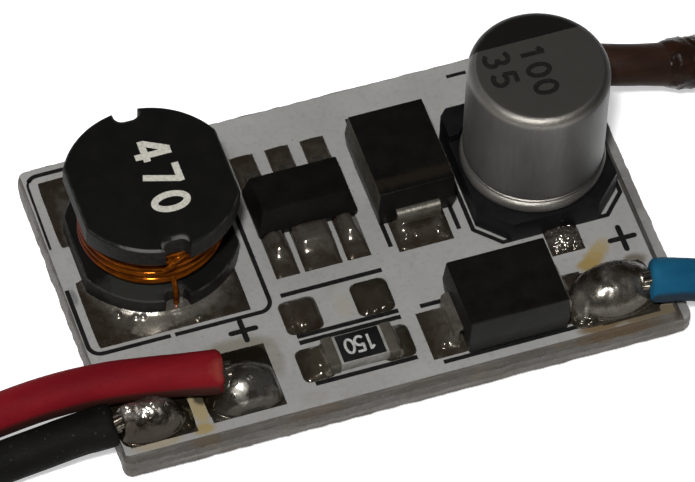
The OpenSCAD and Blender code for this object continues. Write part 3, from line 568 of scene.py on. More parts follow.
def piece(name, shape, material, slot, *nodes, smooth=35, **bevel):
    """A piece of the scene, smooth apart from edges that turn by more than an angle in degrees."""
    mesh = shape.mesh(name, **bevel)
    for face in mesh.polygons:
        face.use_smooth = True
    mesh.set_sharp_from_angle(angle=math.radians(smooth))
    dress(mesh, material)
    return place(name, mesh, slot, *nodes)


def rough(x, y, z, size, seed=0.0):
    """Smooth noise from about -1 to 1, with lumps of a size."""
    return noise.noise(Vector((x / size + seed, y / size - seed, z / size + 2 * seed)))


def arc(cx, cy, rx, ry, start, end, n=12):
    """Points on an ellipse between two angles in degrees."""
    angles = [math.radians(start + (end - start) * i / n) for i in range(n + 1)]
    return [(cx + rx * math.cos(a), cy + ry * math.sin(a)) for a in angles]


def circle(cx, cy, r, z, n=96):
    return [(x, y, z) for x, y in arc(cx, cy, r, r, 0, 360, n)[:-1]]


def rounded_rect(x0, x1, y0, y1, r, z):
    corners = ((x1 - r, y1 - r, 0), (x0 + r, y1 - r, 90), (x0 + r, y0 + r, 180), (x1 - r, y0 + r, 270))
    return [(x, y, z) for cx, cy, turn in corners for x, y in arc(cx, cy, r, r, turn, turn + 90, 6)]


def block(shape, cx, cy, levels):
    """A drafted block, each level as half length, half width and height above the board."""
    shape.loft([[(cx + i * a, cy + j * b, TOP + z) for i, j in ((-1, -1), (1, -1), (1, 1), (-1, 1))]
                for a, b, z in levels])


def across(ahead):
    """Two directions across a lead that runs ahead."""
    side = ahead.cross(UPWARD).normalized()
    return side, side.cross(ahead)


def ring_around(centre, side, over, radius, n):
    """Points around a centre, in the plane of two directions."""
    angles = [2 * math.pi * j / n for j in range(n)]
    return [tuple(centre + (side * math.cos(a) + over * math.sin(a)) * radius) for a in angles]


def strip(shape, path, width, z0, z1, closed=False):
    """A flat line of print along a path, with mitred corners, from z0 to z1."""
    n = len(path)
    sides = [[], []]
    for i, (x, y) in enumerate(path):
        before = path[(i - 1) % n] if closed or i else None
        after = path[(i + 1) % n] if closed or i < n - 1 else None
        ways = []
        for a, b in ((before, (x, y)), ((x, y), after)):
            if a is not None and b is not None:
                run = math.dist(a, b)
                ways.append(((b[0] - a[0]) / run, (b[1] - a[1]) / run))
        first, last = ways[0], ways[-1]
        nx, ny = -(first[1] + last[1]), first[0] + last[0]
        run = math.hypot(nx, ny)
        nx, ny = nx / run, ny / run
        reach = width / 2 / max(0.4, ny * first[0] - nx * first[1])
        for side, sign in zip(sides, (1, -1)):
            side.append((x + sign * nx * reach, y + sign * ny * reach))
    shape.loft([[(*a, z0), (*a, z1), (*b, z1), (*b, z0)] for a, b in zip(*sides)], joined=closed)


FILM = 0.015  # thinnest solder
SUNK = 0.04  # how far solder reaches into the board


def field(shape, pad, height, key, n, m, corner):
    """Solder over a pad of (x, y, length, width): a grid with height(x, y, u, v, key) above the board."""
    cx, cy, w, d = pad
    grid = []
    for j in range(m + 1):
        row = []
        for i in range(n + 1):
            u, v = 2 * i / n - 1, 2 * j / m - 1
            x = cx + w / 2 * u * (1 - corner * abs(v) ** 6 * abs(u) ** 3)
            y = cy + d / 2 * v * (1 - corner * abs(u) ** 6 * abs(v) ** 3)
            row.append((x, y, TOP + max(FILM, height(x, y, u, v, key))))
        grid.append(shape.add(row))
    for a, b in zip(grid, grid[1:]):
        for i in range(n):
            shape.faces.append((a[i], a[i + 1], b[i + 1], b[i]))
    rim = grid[0][:-1] + [r[-1] for r in grid[:-1]] + grid[-1][:0:-1] + [r[0] for r in grid[:0:-1]]
    foot = shape.add([(shape.points[k][0] / MM, shape.points[k][1] / MM, TOP - SUNK) for k in rim])
    for i in range(len(rim)):
        j = (i + 1) % len(rim)
        shape.faces.append((rim[i], foot[i], foot[j], rim[j]))
    shape.faces.append(tuple(foot))


def solder(name, node, material, pads, height, n, m, corner=0.12):
    """One piece of solder on all pads of a component, each given with the key that its height needs."""
    s = Shape()
    for pad, key in pads:
        field(s, pad, height, key, n, m, corner)
    piece(name, s, material, "solder", node, smooth=60)


def crown(u, v, edge, high, power=4):
    """A pillow over a pad, from its edge up to its middle."""
    return edge + (high - edge) * max(0.0, (1 - abs(u) ** power) * (1 - abs(v) ** power))


def warts(x, y, spots):
    """Small round drops, each as x, y, radius and height."""
    return sum(h * max(0.0, 1 - ((x - a) ** 2 + (y - b) ** 2) / r ** 2) ** 2 for a, b, r, h in spots)


def step(distance, soft):
    """Falls from 1 to 0 where a distance goes past zero."""
    return 1 / (1 + math.exp(distance / soft))


def faded(u, v, power=10):
    """Falls to 0 at the rim of a pad."""
    return 1 - max(abs(u), abs(v)) ** power


# Leads

LEAD_DIAMETER = 1.9
LEAD_RADIUS = LEAD_DIAMETER / 2
LEAD_LIFT = 1.8  # how far a lead is raised where its route says 1
FREE_TIP = 5.0
STRANDS_AROUND, STRAND_STEPS = 6, 26
STRAND_REACH, STRAND_TWIST = 0.285, 0.75  # distance from the middle strand, and turn in radians per mm
SOLDERED_STRAND, FREE_STRAND = 0.165, 0.155  # radius of a strand at each end of the lead


def on_route(point):
    """The middle of a lead at a point of its route."""
    x, y, lift = point
    return x, y, LEAD_RADIUS + lift * LEAD_LIFT


def lead(name, route, material, slot, node, swell):
    """The insulated lead, a round curve that swells by a share of its radius at some of its points."""
    curve = bpy.data.curves.new(name, "CURVE")
    curve.dimensions = "3D"
    curve.resolution_u = 8
    curve.bevel_depth = LEAD_RADIUS * MM
    curve.bevel_resolution = 7
    curve.use_fill_caps = True
    spline = curve.splines.new("BEZIER")
    spline.bezier_points.add(len(route) - 1)
    for i, (bezier, point) in enumerate(zip(spline.bezier_points, route)):
        bezier.co = Vector(on_route(point)) * MM
        bezier.handle_left_type = bezier.handle_right_type = "AUTO"
        bezier.radius = 1 + swell.get(i, 0.0)
    curve.materials.append(material)
    return place(name, curve, slot, node)


def strands(name, route, node, bare):
    """The bared conductor at both ends: seven twisted strands, loose at the free end."""
    s = Shape()
    p = [Vector(on_route(q)) for q in route]
    for start, before, length, soldered in ((p[0], p[1], bare, True), (p[-1], p[-2], FREE_TIP, False)):
        ahead = (start - before).normalized()
        side, over = across(ahead)
        radius = SOLDERED_STRAND if soldered else FREE_STRAND
        for k in range(STRANDS_AROUND + 1):
            splay = 0 if soldered else 0.10 * math.sin(k * 2.1)
            short = 0 if soldered else 0.12 * ((k * 3) % 4)
            rings = []
            for i in range(STRAND_STEPS + 1):
                t = length * i / STRAND_STEPS
                turn = 2 * math.pi * k / STRANDS_AROUND + t * STRAND_TWIST
                out = 0.0 if k == STRANDS_AROUND else STRAND_REACH * (1 + splay * t / length)
                c = start + ahead * min(t, length - short * t / length)
                c = c + (side * math.cos(turn) + over * math.sin(turn)) * out
                rings.append(ring_around(c, side, over, radius * (0.75 if i == STRAND_STEPS else 1), 8))
            s.loft(rings)
    return piece(name, s, STRAND, "tinned", node, smooth=60)


MELTED_PROFILE = (  # distance past the end of the lead, and radius
    (-1.1, 0.93), (-0.9, 0.957), (-0.6, 0.968), (-0.3, 0.985), (-0.05, 0.985), (0.08, 0.955), (0.17, 0.88),
    (0.22, 0.77), (0.24, 0.6), (0.24, 0.4))


def bead(name, route, material, slot):
    """The rounded end of the insulation, melted by the soldering iron."""
    s = Shape()
    end, inner = [Vector(on_route(q)) for q in route]
    ahead = (end - inner).normalized()
    rings = []
    for along, r in MELTED_PROFILE:
        ring = []
        for out in (Vector(q) for q in ring_around(Vector(), *across(ahead), 1, 40)):
            melt = 0.045 * rough(out.x, out.y, out.z + along * 0.6, 0.55, 31 + end.x)
            melt *= min(1.0, (along + 1.1) / 0.5)
            ring.append(tuple(end + ahead * (along + 2.0 * melt) + out * (r + melt)))
        rings.append(ring)
    s.loft(rings)
    return piece(name, s, material, slot, smooth=60)


def lump(name, route):
    """A thick, uneven knot where the insulation has melted and set again."""
    s = Shape()
    a, b, c = [Vector(on_route(q)) for q in route]
    steps, reach = 40, 0.62
    rings = []
    for i in range(steps + 1):
        t = -reach + 2 * reach * i / steps
        run = b - a if t < 0 else c - b
        swell = max(0.0, 1 - (abs(t) / reach) ** 3) ** 0.6
        ring = []
        for out in (Vector(q) for q in ring_around(Vector(), *across(run.normalized()), 1, 36)):
            coarse = 0.12 * rough(out.x * 1.2, out.y * 1.2 + t * 2, out.z * 1.2, 0.5, 21)
            fine = 0.08 * rough(out.x, out.y + t * 3, out.z, 0.2, 22)
            ring.append(tuple(b + run * t + out * (0.90 + swell * (0.27 + coarse + fine))))
        rings.append(ring)
    s.loft(rings)
    return piece(name, s, MELT, "brown", smooth=60)


ROUTES = {  # x, y and lift, from the joint to the free end
    "red": [(-8.1, -5.6, 1), (-9.6, -5.3, 1), (-11.2, -5, 1), (-13, -4.7, 0.97), (-15.3, -4.5, 0.86),
            (-17.6, -4.4, 0.58), (-20, -4.4, 0.25), (-22.4, -4.4, 0.03), (-24.8, -4.4, 0), (-27.2, -4.1, 0),
            (-29.4, -3, 0), (-30.8, -1, 0), (-30.9, 1.4, 0), (-29.6, 3.4, 0), (-27.6, 4.8, 0),
            (-25.4, 5.8, 0)],
    "black": [(-13.3, -6.5, 0.7), (-14.7, -6.4, 0.56), (-16.3, -6.4, 0.4), (-18.2, -6.4, 0.2),
              (-20.4, -6.6, 0.05), (-22.8, -6.9, 0), (-25.3, -7.2, 0), (-27.8, -7.2, 0), (-30.3, -6.6, 0),
              (-32.6, -5.3, 0), (-34.2, -3.3, 0), (-35, -0.9, 0), (-34.8, 1.7, 0), (-33.6, 4, 0),
              (-31.7, 5.9, 0), (-29.4, 7.1, 0)],
    "blue": [(11.7, -6.7, 0.95), (12.6, -6.9, 0.92), (13.6, -7.1, 0.8), (15.4, -7.3, 0.53),
             (17.6, -7.4, 0.25), (20, -7.2, 0.04), (22.2, -6.4, 0), (24.2, -5.1, 0), (25.9, -3.4, 0),
             (27.6, -1.7, 0), (29.5, -0.3, 0), (31.7, 0.5, 0), (34, 0.6, 0), (36.2, 0, 0), (38.3, -1.1, 0),
             (40.3, -2.4, 0)],
    "brown": [(11.6, 5.9, 0.95), (12.6, 5.4, 0.95), (13.8, 5, 0.9), (15.2, 4.7, 0.8), (17.5, 4.5, 0.53),
              (20, 4.7, 0.25), (22.3, 5.3, 0.04), (24.6, 6.2, 0), (26.9, 7, 0), (29.3, 7.3, 0), (31.7, 7, 0),
              (34, 6.2, 0), (36.2, 5.2, 0), (38.4, 4.3, 0), (40.7, 3.8, 0), (43, 3.8, 0)]}
SWELL = {"brown": {4: 0.1}, "red": {0: 0.05}}
BARE_STUB = {"red": 0.6, "black": 1.2, "blue": 0.6, "brown": 0.6}

for colour, material in (("red", RED), ("black", BLACK), ("blue", BLUE), ("brown", BROWN)):
    route = ROUTES[colour]
    cord = lead(colour + "_insulation", route, material, colour, colour + "_lead", SWELL.get(colour, {}))
    ends = [strands(colour + "_strands", route, colour + "_lead_ends", BARE_STUB[colour]),
            bead(colour + "_melted_end", route[:2], material, colour)]
    if colour == "brown":
        ends.append(lump("brown_lump", route[3:6]))


# Board

HALF_LENGTH, HALF_WIDTH = 13, 8.1
PLATE_TOP = 1.54
EDGE_LEVELS = (  # height, and how far the left, right, front and rear sides step in
    (0.0, 0.12, 0.70, 0.25, 0.25), (0.30, 0.0, 0.45, 0.0, 0.0), (0.301, 0, 0, 0, 0), (0.55, 0, 0, 0, 0),
    (0.78, 0, 0, 0, 0), (1.0, 0, 0, 0, 0), (1.235, 0, 0, 0, 0), (1.24, 0.0, 0.45, 0.0, 0.0),
    (1.39, 0.02, 0.575, 0.125, 0.125), (PLATE_TOP, 0.05, 0.70, 0.25, 0.25))
BURR_Y, BURR_Z, BURR_OUT = 4.62, 1.05, 0.16


def snapped(x, y, z):
    """A point of the plate's outline, moved in or out where the edge was snapped."""
    amount = 0.0 if z in (0.0, PLATE_TOP) else 0.05
    d = amount * (rough(x, y, z, 0.5) - 0.45) + amount * 0.5 * (rough(x, y, z, 0.14, 3) - 0.3)
    if x < -12.5 and 0.5 < z < 1.38:
        d += BURR_OUT * math.exp(-((y - BURR_Y) / 0.14) ** 2 - ((z - BURR_Z) / 0.2) ** 2)
    if abs(abs(x) - HALF_LENGTH) < 1.0:
        x += math.copysign(d, x)
    if abs(abs(y) - HALF_WIDTH) < 0.5:
        y += math.copysign(d, y)
    return x, y, z


def board():
    s = Shape()
    rings = []
    for z, left, right_in, front, rear in EDGE_LEVELS:
        ring = rounded_rect(left - HALF_LENGTH, HALF_LENGTH - right_in, front - HALF_WIDTH, HALF_WIDTH - rear,
                            0.4 - 0.6 * min(left, 0.25), z)
        out = []
        for (ax, ay, _), (bx, by, _) in zip(ring, ring[1:] + ring[:1]):
            n = 220 if abs(ax - bx) > 9 else 140 if abs(ay - by) > 9 else 1
            out += [snapped(ax + (bx - ax) * i / n, ay + (by - ay) * i / n, z) for i in range(n)]
        rings.append(out)
    s.loft(rings)
    piece("board_core", s, PLATE, "plate", "board_plate", smooth=50)


def coat_edge():
    """A thin strip that takes the white coat closer to the left end."""
    s = Shape()
    outline = ((-12.94, -7.75), (-12.74, -7.85), (-12.74, 7.85), (-12.94, 7.75))
    s.loft([[(x, y, z) for x, y in outline] for z in (1.52, TOP - 0.001)])
    piece("coat_edge", s, COAT, "white_coat")


board()
coat_edge()
dress(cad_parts["white_coat"].data, COAT)
dress(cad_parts["tinned_pads"].data, DULL_SOLDER)


# Printed lines and numbers

INK_LOW, INK_HIGH = TOP - 0.01, TOP + 0.012
INK_STEP = 0.004  # crossing lines differ by this in height
LINE, WIDE_LINE, SIGN_LINE = 0.2, 0.22, 0.25


def drum_frame(line):
    """The printed frame around the drum, open at two places."""
    r = 0.55
    x0, x1, y0, y1 = -12.82, -4.5, -2.45, 7.5
    upper = x0 + 0.02
    line((-9.2, y0), (x0 + r, y0), *arc(x0 + r, y0 + r, r, r, -90, -180, 8)[1:], (x0, 1.2))
    line((x0 - 0.02, 3.5), (upper, y1 - r), *arc(upper + r, y1 - r, r, r, 180, 135, 5)[1:], width=0.11)
    line(*arc(upper + r, y1 - r, r, r, 145, 90, 6), (x1 - r, y1), *arc(x1 - r, y1 - r, r, r, 90, 0, 8)[1:],
         (x1, y0 + r), *arc(x1 - r, y0 + r, r, r, 0, -90, 8)[1:], (-9.0, y0))


def prints():
    s = Shape()

    def line(*points, width=LINE):
        strip(s, points, width, INK_LOW, INK_HIGH)

    drum_frame(line)
    line((1.47, 4.0), (1.5, -0.85))
    line((4.69, 5.95), (4.69, -0.84))
    line((1.72, -7.35), (8.05, -7.35))
    line((1.69, -4.25), (8.05, -4.25), width=WIDE_LINE)
    for y in (-4.51, -6.75, -1.89, -4.17):
        line((-3.97, y), (0.71, y), width=WIDE_LINE)
    line((5.26, 4.6), (5.26, -1.08), (6.30, -2.10), (7.70, -2.10))
    line((9.95, -2.10), (11.2, -2.10), (12.17, -1.09), (12.17, 4.6))
    for cx, cy, rx, ry in ((11.4, -3.47, 0.56, 0.61), (-6.1, -3.15, 0.56, 0.52)):
        line((cx - rx, cy), (cx + rx, cy), width=SIGN_LINE)
        strip(s, [(cx, cy - ry), (cx, cy + ry)], SIGN_LINE, INK_LOW, INK_HIGH + INK_STEP)
        for dx, dy in ((rx, 0), (-rx, 0), (0, ry), (0, -ry)):
            s.loft([circle(cx + dx, cy + dy, SIGN_LINE / 2, z, 14) for z in (INK_LOW, INK_HIGH - INK_STEP)])
    line((6.88, 7.21), (7.80, 7.21), width=0.17)
    piece("print_lines", s, PRINT, "glaze")


prints()

GLYPHS = {
    "0": [arc(0.5, 0.84, 0.38, 0.72, 0, 345, 30)],
    "1": [[(0.22, 1.30), (0.54, 1.62)], [(0.55, 1.68), (0.55, 0.06)]],
    "3": [arc(0.46, 1.25, 0.34, 0.38, 150, -90, 16), arc(0.46, 0.47, 0.40, 0.42, 90, -150, 16)],
    "4": [[(0.62, 1.62), (0.06, 0.56)], [(-0.06, 0.52), (1.04, 0.52)], [(0.72, 1.66), (0.72, 0.06)]],
    "5": [[(0.86, 1.62), (0.16, 1.62)], [(0.22, 1.66), (0.18, 0.86)],
          arc(0.46, 0.54, 0.40, 0.46, 135, -145, 18)],
    "7": [[(0.00, 1.60), (1.0, 1.60)], [(0.88, 1.62), (0.40, 0.06)]]}


def digits(shape, text, start, along, upward, tall, wide, weight, pitch, z0, z1):
    """Plain numbers on a face: start is the lower left corner, along the way to read, upward their top."""
    for k, digit in enumerate(text):
        for layer, glyph in enumerate(GLYPHS[digit]):
            path = []
            for u, v in glyph:
                a, b = (u + k * pitch) * wide, v * tall
                path.append([o + p * a + q * b for o, p, q in zip(start, along, upward)])
            strip(shape, path, weight, z0, z1 + layer * INK_STEP, digit == "0")


# Inductor

DRUM_X, DRUM_Y = -8.55, 2.45
FLANGE_RADIUS, FLANGE_FLAT = 3.9, 3.5
NOTCH_HALF, NOTCH_DEEP, NOTCH_CORNER = 0.575, 0.55, 0.4
LOWER_FLANGE, UPPER_FLANGE, DRUM_TOP = TOP + 0.1, TOP + 3.9, TOP + 5.0
RIM_LOW, RIM_HIGH = 0.07, 0.18  # rounding of the flanges' edges


def flange_outline(grow):
    """Half a flange from a notch to the next one, twice."""
    r, flat, half = FLANGE_RADIUS + grow, FLANGE_FLAT + grow, NOTCH_HALF - grow
    floor = r - (NOTCH_DEEP - grow) + NOTCH_CORNER
    at_notch = math.degrees(math.asin(half / r))
    at_flat = math.degrees(math.acos(flat / r))
    points = arc(0, 0, r, r, -90 + at_notch, -at_flat, 22) + arc(0, 0, r, r, at_flat, 90 - at_notch, 22)
    points += arc(half - NOTCH_CORNER, floor, NOTCH_CORNER, -NOTCH_CORNER, 0, 90, 7)
    points += arc(NOTCH_CORNER - half, floor, NOTCH_CORNER, -NOTCH_CORNER, 90, 180, 7)
    return points + [(-x, -y) for x, y in points]


def drum():
    s = Shape()
    lower = [(-RIM_LOW, 0), (0, RIM_LOW), (0, 1.03), (-RIM_LOW, 1.1)]
    upper = [(-RIM_LOW, 0), (0, RIM_LOW)] + arc(-RIM_HIGH, 1.1 - RIM_HIGH, RIM_HIGH, RIM_HIGH, 0, 90, 6)
    for base, profile in ((LOWER_FLANGE, lower), (UPPER_FLANGE, upper)):
        s.loft([[(DRUM_X + x, DRUM_Y + y, base + h) for x, y in flange_outline(grow)] for grow, h in profile])
    s.loft([circle(DRUM_X, DRUM_Y, 1.7, z, 48) for z in (LOWER_FLANGE + 1.0, UPPER_FLANGE + 0.2)])
    piece("drum_core", s, FERRITE, "ferrite", "inductor_drum", smooth=24)


def winding():
    """Two layers of turns over a core that closes the gaps between them."""
    s = Shape()
    turns, per_turn, r = 5, 80, 0.214
    low, high = TOP + 1.22, TOP + 3.86
    count = turns * per_turn
    for layer, radius in enumerate((3.07, 2.80)):
        rings = []
        for i in range(count + 1):
            a = 2 * math.pi * i / per_turn + layer
            out = Vector((math.cos(a), math.sin(a), 0))
            z = low + r + (high - low - 2 * r) * i / count
            z += 0.015 * rough(out.x * 2, out.y * 2, i / per_turn, 0.9, layer + 1)
            reach = radius + 0.02 * rough(out.x * 2, out.y * 2, i / per_turn, 0.7, layer + 5)
            c = Vector((DRUM_X + reach * out.x, DRUM_Y + reach * out.y, z))
            rings.append(ring_around(c, out, UPWARD, r, 8))
        s.loft(rings)
    s.loft([circle(DRUM_X, DRUM_Y, 2.78, z, 64) for z in (low - 0.02, high + 0.02)])
    piece("copper_turns", s, COPPER, "copper", "inductor_winding", smooth=70)


def tube(shape, points, r, n=10):
    """A round wire along a smooth line through points."""
    line = []
    p = [Vector(q) for q in points]
    for i in range(len(p) - 1):
        a, b, c, d = p[max(i - 1, 0)], p[i], p[i + 1], p[min(i + 2, len(p) - 1)]
        for t in (k / 6 for k in range(6)):
            bend = (2 * a - 5 * b + 4 * c - d) * t ** 2 + (3 * b - a - 3 * c + d) * t ** 3
            line.append(0.5 * (2 * b + (c - a) * t + bend))
    line.append(p[-1])
    side = None
    rings = []
    for i, c in enumerate(line):
        ahead = (line[min(i + 1, len(line) - 1)] - line[max(i - 1, 0)]).normalized()
        side = (side - ahead * side.dot(ahead)).normalized() if side else ahead.orthogonal().normalized()
        rings.append(ring_around(c, side, ahead.cross(side), r, n))
    shape.loft(rings)


TAIL = ((-0.02, -3.12, 1.95), (0.0, -3.36, 1.6), (0.02, -3.5, 1.2), (0.02, -3.53, 0.8), (0.03, -3.55, 0.5),
        (0.04, -3.56, 0.16))
CROSSING = ((0.78, -3.05, 3.05), (0.40, -3.22, 3.4), (0.05, -3.33, 3.3), (-0.15, -3.32, 2.95),
            (-0.4, -3.2, 2.6))
TAIL_RADIUS, CROSSING_RADIUS = 0.125, 0.17


def tails():
    """On each side, the wire down to the pad and the last turn that crosses over at the notch."""
    s = Shape()
    for sign in (1, -1):
        for path, r in ((TAIL, TAIL_RADIUS), (CROSSING, CROSSING_RADIUS)):
            tube(s, [(DRUM_X + sign * x, DRUM_Y + sign * y, TOP + z) for x, y, z in path], r)
    piece("copper_tails", s, COPPER, "copper", "inductor_tails", smooth=70)


DRUM_DROPS = ((-11.1, -0.85, 0.2, 0.12), (-10.4, -1.22, 0.17, 0.10), (-10.1, -1.33, 0.17, 0.10),
              (-7.72, -2.0, 0.19, 0.115), (-9.5, -1.8, 0.8, 0.07), (-6.1, -1.0, 0.12, 0.06))


def inductor_solder():
    """Two thin pads with a fillet that climbs the lower flange."""
    def height(x, y, u, v, side):
        gap = math.hypot(x - DRUM_X, y - DRUM_Y) - FLANGE_RADIUS
        if abs(x - DRUM_X) > FLANGE_FLAT:
            gap = max(gap, abs(x - DRUM_X) - FLANGE_FLAT)
        gap = max(gap, 0.0)
        fillet = (0.20 * math.exp(-gap / 0.45) + 0.07 * math.exp(-gap / 0.07)) * (1 - abs(u) ** 8)
        film = crown(u, v, 0.03, 0.13, 6) + 0.022 * rough(x, y, 0, 0.6, 2 + side)
        return film + fillet + warts(x, y, DRUM_DROPS)
    pads = [((DRUM_X - 0.35, DRUM_Y + side * 2.8, 6.95, 3.65), side) for side in (-1, 1)]
    solder("inductor_joints", "inductor_solder", DRUM_SOLDER, pads, height, 120, 66, 0.015)


def inductor_value():
    s = Shape()
    digits(s, "470", (-8.97, 4.40), (0, -1), (1, 0), 1.02, 1.02, 0.31, 1.40,
           DRUM_TOP - 0.01, DRUM_TOP + 0.012)
    piece("inductor_value", s, WHITE_MARK, "white_coat")


drum()
winding()
tails()
inductor_solder()
inductor_value()


# Capacitor

CAN_X, CAN_Y = 8.7, 1.05
CAN_FOOT, CAN_TOP = TOP + 1.35, TOP + 8.0
CAN_RADIUS, CAN_ROUND, BEAD_ROUND = 3.15, 0.5, 0.35
BASE_HALF, BASE_CUT, BASE_CORNER = 3.3, 1.3, 0.35


def can():
    """The can turned from a profile: a rolled foot, a crimp groove, a straight wall and a rounded top."""
    s = Shape()
    profile = [(0.3, 0.0), (2.7, 0.0), (2.9, 0.0)]
    profile += arc(2.9, BEAD_ROUND, BEAD_ROUND, BEAD_ROUND, -75, 90, 11)
    profile += [(2.96, 0.72), (3.03, 0.76), (3.11, 0.80), (3.115, 0.86), (3.06, 0.90), (3.07, 0.95),
                (3.13, 1.02)]
    profile += [(CAN_RADIUS, z) for z in (1.12, 1.6, 2.6, 3.6, 4.6, 5.5, 6.15)]
    profile += arc(CAN_RADIUS - CAN_ROUND, 6.15, CAN_ROUND, CAN_ROUND, 10, 90, 8)
    profile += [(r, 6.65) for r in (2.2, 1.4, 0.5)]
    s.loft([circle(CAN_X, CAN_Y, r, CAN_FOOT + z, 120) for r, z in profile])
    piece("can_shell", s, CAN, "can", "capacitor_can", smooth=45)


def cap_base():
    """The moulded base with two cut corners in front and two posts at the rear."""
    s = Shape()
    h, cut, k = BASE_HALF, BASE_HALF - BASE_CUT, BASE_HALF - BASE_CORNER
    outline = ((-cut, -h), (cut, -h), (h, -cut), (h, k), (k, h), (-k, h), (-h, k), (-h, -cut))
    post = [(h, 1.75), (h, k), (k, h), (1.75, h)]
    post += [arc(0, 0, 3.32, 3.32, a, a)[0] for a in (57, 52, 45, 38, 33)]
    solids = [(outline, 0.05, 1.35), (post, 1.3, 1.85), ([(-x, y) for x, y in post], 1.3, 1.85)]
    for points, low, high in solids:
        s.loft([[(CAN_X + x, CAN_Y + y, TOP + z) for x, y in points] for z in (low, high)])
    piece("can_base", s, BASE, "base", "capacitor_base", smooth=40, bevel=0.07)


def capacitor_solder():
    def height(x, y, u, v, side):
        off_tip = abs(abs(y - CAN_Y) - 3.85)
        meniscus = 0.2 * math.exp(-off_tip / 0.3) * math.exp(-((x - CAN_X) / 0.55) ** 2)
        grain = 0.07 * rough(x, y, 0, 0.22, 5 + side) + 0.04 * rough(x, y, 0, 0.11, 8)
        return crown(u, v, 0.03, 0.24, 5) + meniscus + grain
    pads = [((CAN_X + 0.2, CAN_Y + side * 3.3, 1.55, 2.5), side) for side in (-1, 1)]
    solder("capacitor_joints", "capacitor_solder", GRAINY_SOLDER, pads, height, 52, 84)


def can_value():
    s = Shape()
    for text, start, wide, pitch in (("100", (8.05, 2.24), 0.80, 1.20), ("35", (6.46, 2.33), 0.82, 1.32)):
        digits(s, text, start, (0, -1), (1, 0), 0.66, wide, 0.22, pitch, CAN_TOP - 0.01, CAN_TOP + 0.012)
    piece("can_value", s, DARK_MARK, "base")


can()
cap_base()
capacitor_solder()
can_value()


# Chip, diodes and resistor

CHIP_X, CHIP_Y, CHIP_HALF, CHIP_DEEP = -1.65, 2.45, 2.3, 1.25
CATCH = (3.05, 2.55, True)  # x, y and whether the diode is turned lengthways to the rear
INPUT = (5.15, -5.65, False)
DIODE_HALF, DIODE_WIDE, DIODE_DRAFT = 2.35, 1.825, 0.1
LEAD_THICK = 0.2
RES_X, RES_Y = -1.6, -5.75


def chip():
    s = Shape()
    rings = []
    for z, ends, front, rear in ((0.05, 0.03, 0.03, 0.02), (0.42, 0.0, 0.0, 0.0), (1.5, 0.3, 0.45, 0.15)):
        x, y0, y1 = CHIP_HALF - ends, CHIP_Y - CHIP_DEEP + front, CHIP_Y + CHIP_DEEP - rear
        rings.append([(CHIP_X - x, y0, TOP + z), (CHIP_X + x, y0, TOP + z),
                      (CHIP_X + x, y1, TOP + z), (CHIP_X - x, y1, TOP + z)])
    s.loft(rings)
    piece("chip_mould", s, MOULD, "moulding", "chip_body", smooth=40, bevel=0.06, angle=12)


def diode(name, where, node, material):
    s = Shape()
    cx, cy, turned = where
    levels = []
    for draft, z in ((DIODE_DRAFT, 0.2), (0, 1.1), (DIODE_DRAFT, 2.4)):
        a, b = DIODE_HALF - draft, DIODE_WIDE - draft
        levels.append((b, a, z) if turned else (a, b, z))
    block(s, cx, cy, levels)
    piece(name, s, material, "moulding", node, smooth=40, bevel=0.07, segments=3, angle=5)


def diode_leads(name, where, node):
    """Flat leads that leave the body half-way up, turn down and fold under it."""
    s = Shape()
    cx, cy, turned = where
    centre = [(1.95, 1.1), (2.42, 1.1)] + arc(2.42, 0.92, 0.18, 0.18, 75, 0, 5)
    centre += [(2.6, 0.34)] + arc(2.36, 0.34, 0.24, 0.24, -15, -90, 5) + [(1.55, 0.1)]
    for sign in (1, -1):
        rings = []
        for i, (x, z) in enumerate(centre):
            p, q = centre[max(i - 1, 0)], centre[min(i + 1, len(centre) - 1)]
            run = math.dist(p, q)
            nx, nz = (p[1] - q[1]) / run, (q[0] - p[0]) / run
            ring = []
            for k, w in ((1, -1), (1, 1), (-1, 1), (-1, -1)):
                out, h = sign * (x + k * nx * LEAD_THICK / 2), TOP + z + k * nz * LEAD_THICK / 2
                ring.append((cx - w * sign, cy + out, h) if turned else (cx + out, cy + w * sign, h))
            rings.append(ring)
        s.loft(rings)
    piece(name, s, BRIGHT_TIN, "tinned", node)


DIODE_DROPS = ((2.3, -0.6, 0.2, 0.13), (2.75, -0.68, 0.12, 0.07), (3.75, -0.75, 0.14, 0.08),
               (2.0, -6.6, 0.2, 0.12))


def diode_solder(name, where, node, shift=0.0):
    """Two pads, each with a wall of solder that climbs the lead."""
    cx, cy, turned = where

    def height(x, y, u, v, side):
        along, aside = (y - cy, x - cx) if turned else (x - cx, y - cy)
        out = side * along - 2.7
        wall = 0.40 * math.exp(-max(out, 0.0) / 0.26) if out > -0.2 else 0.05
        wall *= step(abs(aside) - 1.0, 0.08) * faded(u, v)
        film = crown(u, v, 0.03, 0.13, 6) + 0.02 * rough(x, y, 0, 0.45, 7 + side)
        return film + wall + warts(x, y, DIODE_DROPS)
    pads = []
    for side in (-1, 1):
        out = side * 2.65
        pads.append(((cx, cy + out, 2.55, 2.3) if turned else (cx + out, cy + shift, 2.3, 2.55), side))
    solder(name, node, PAD_SOLDER, pads, height, 46, 46)


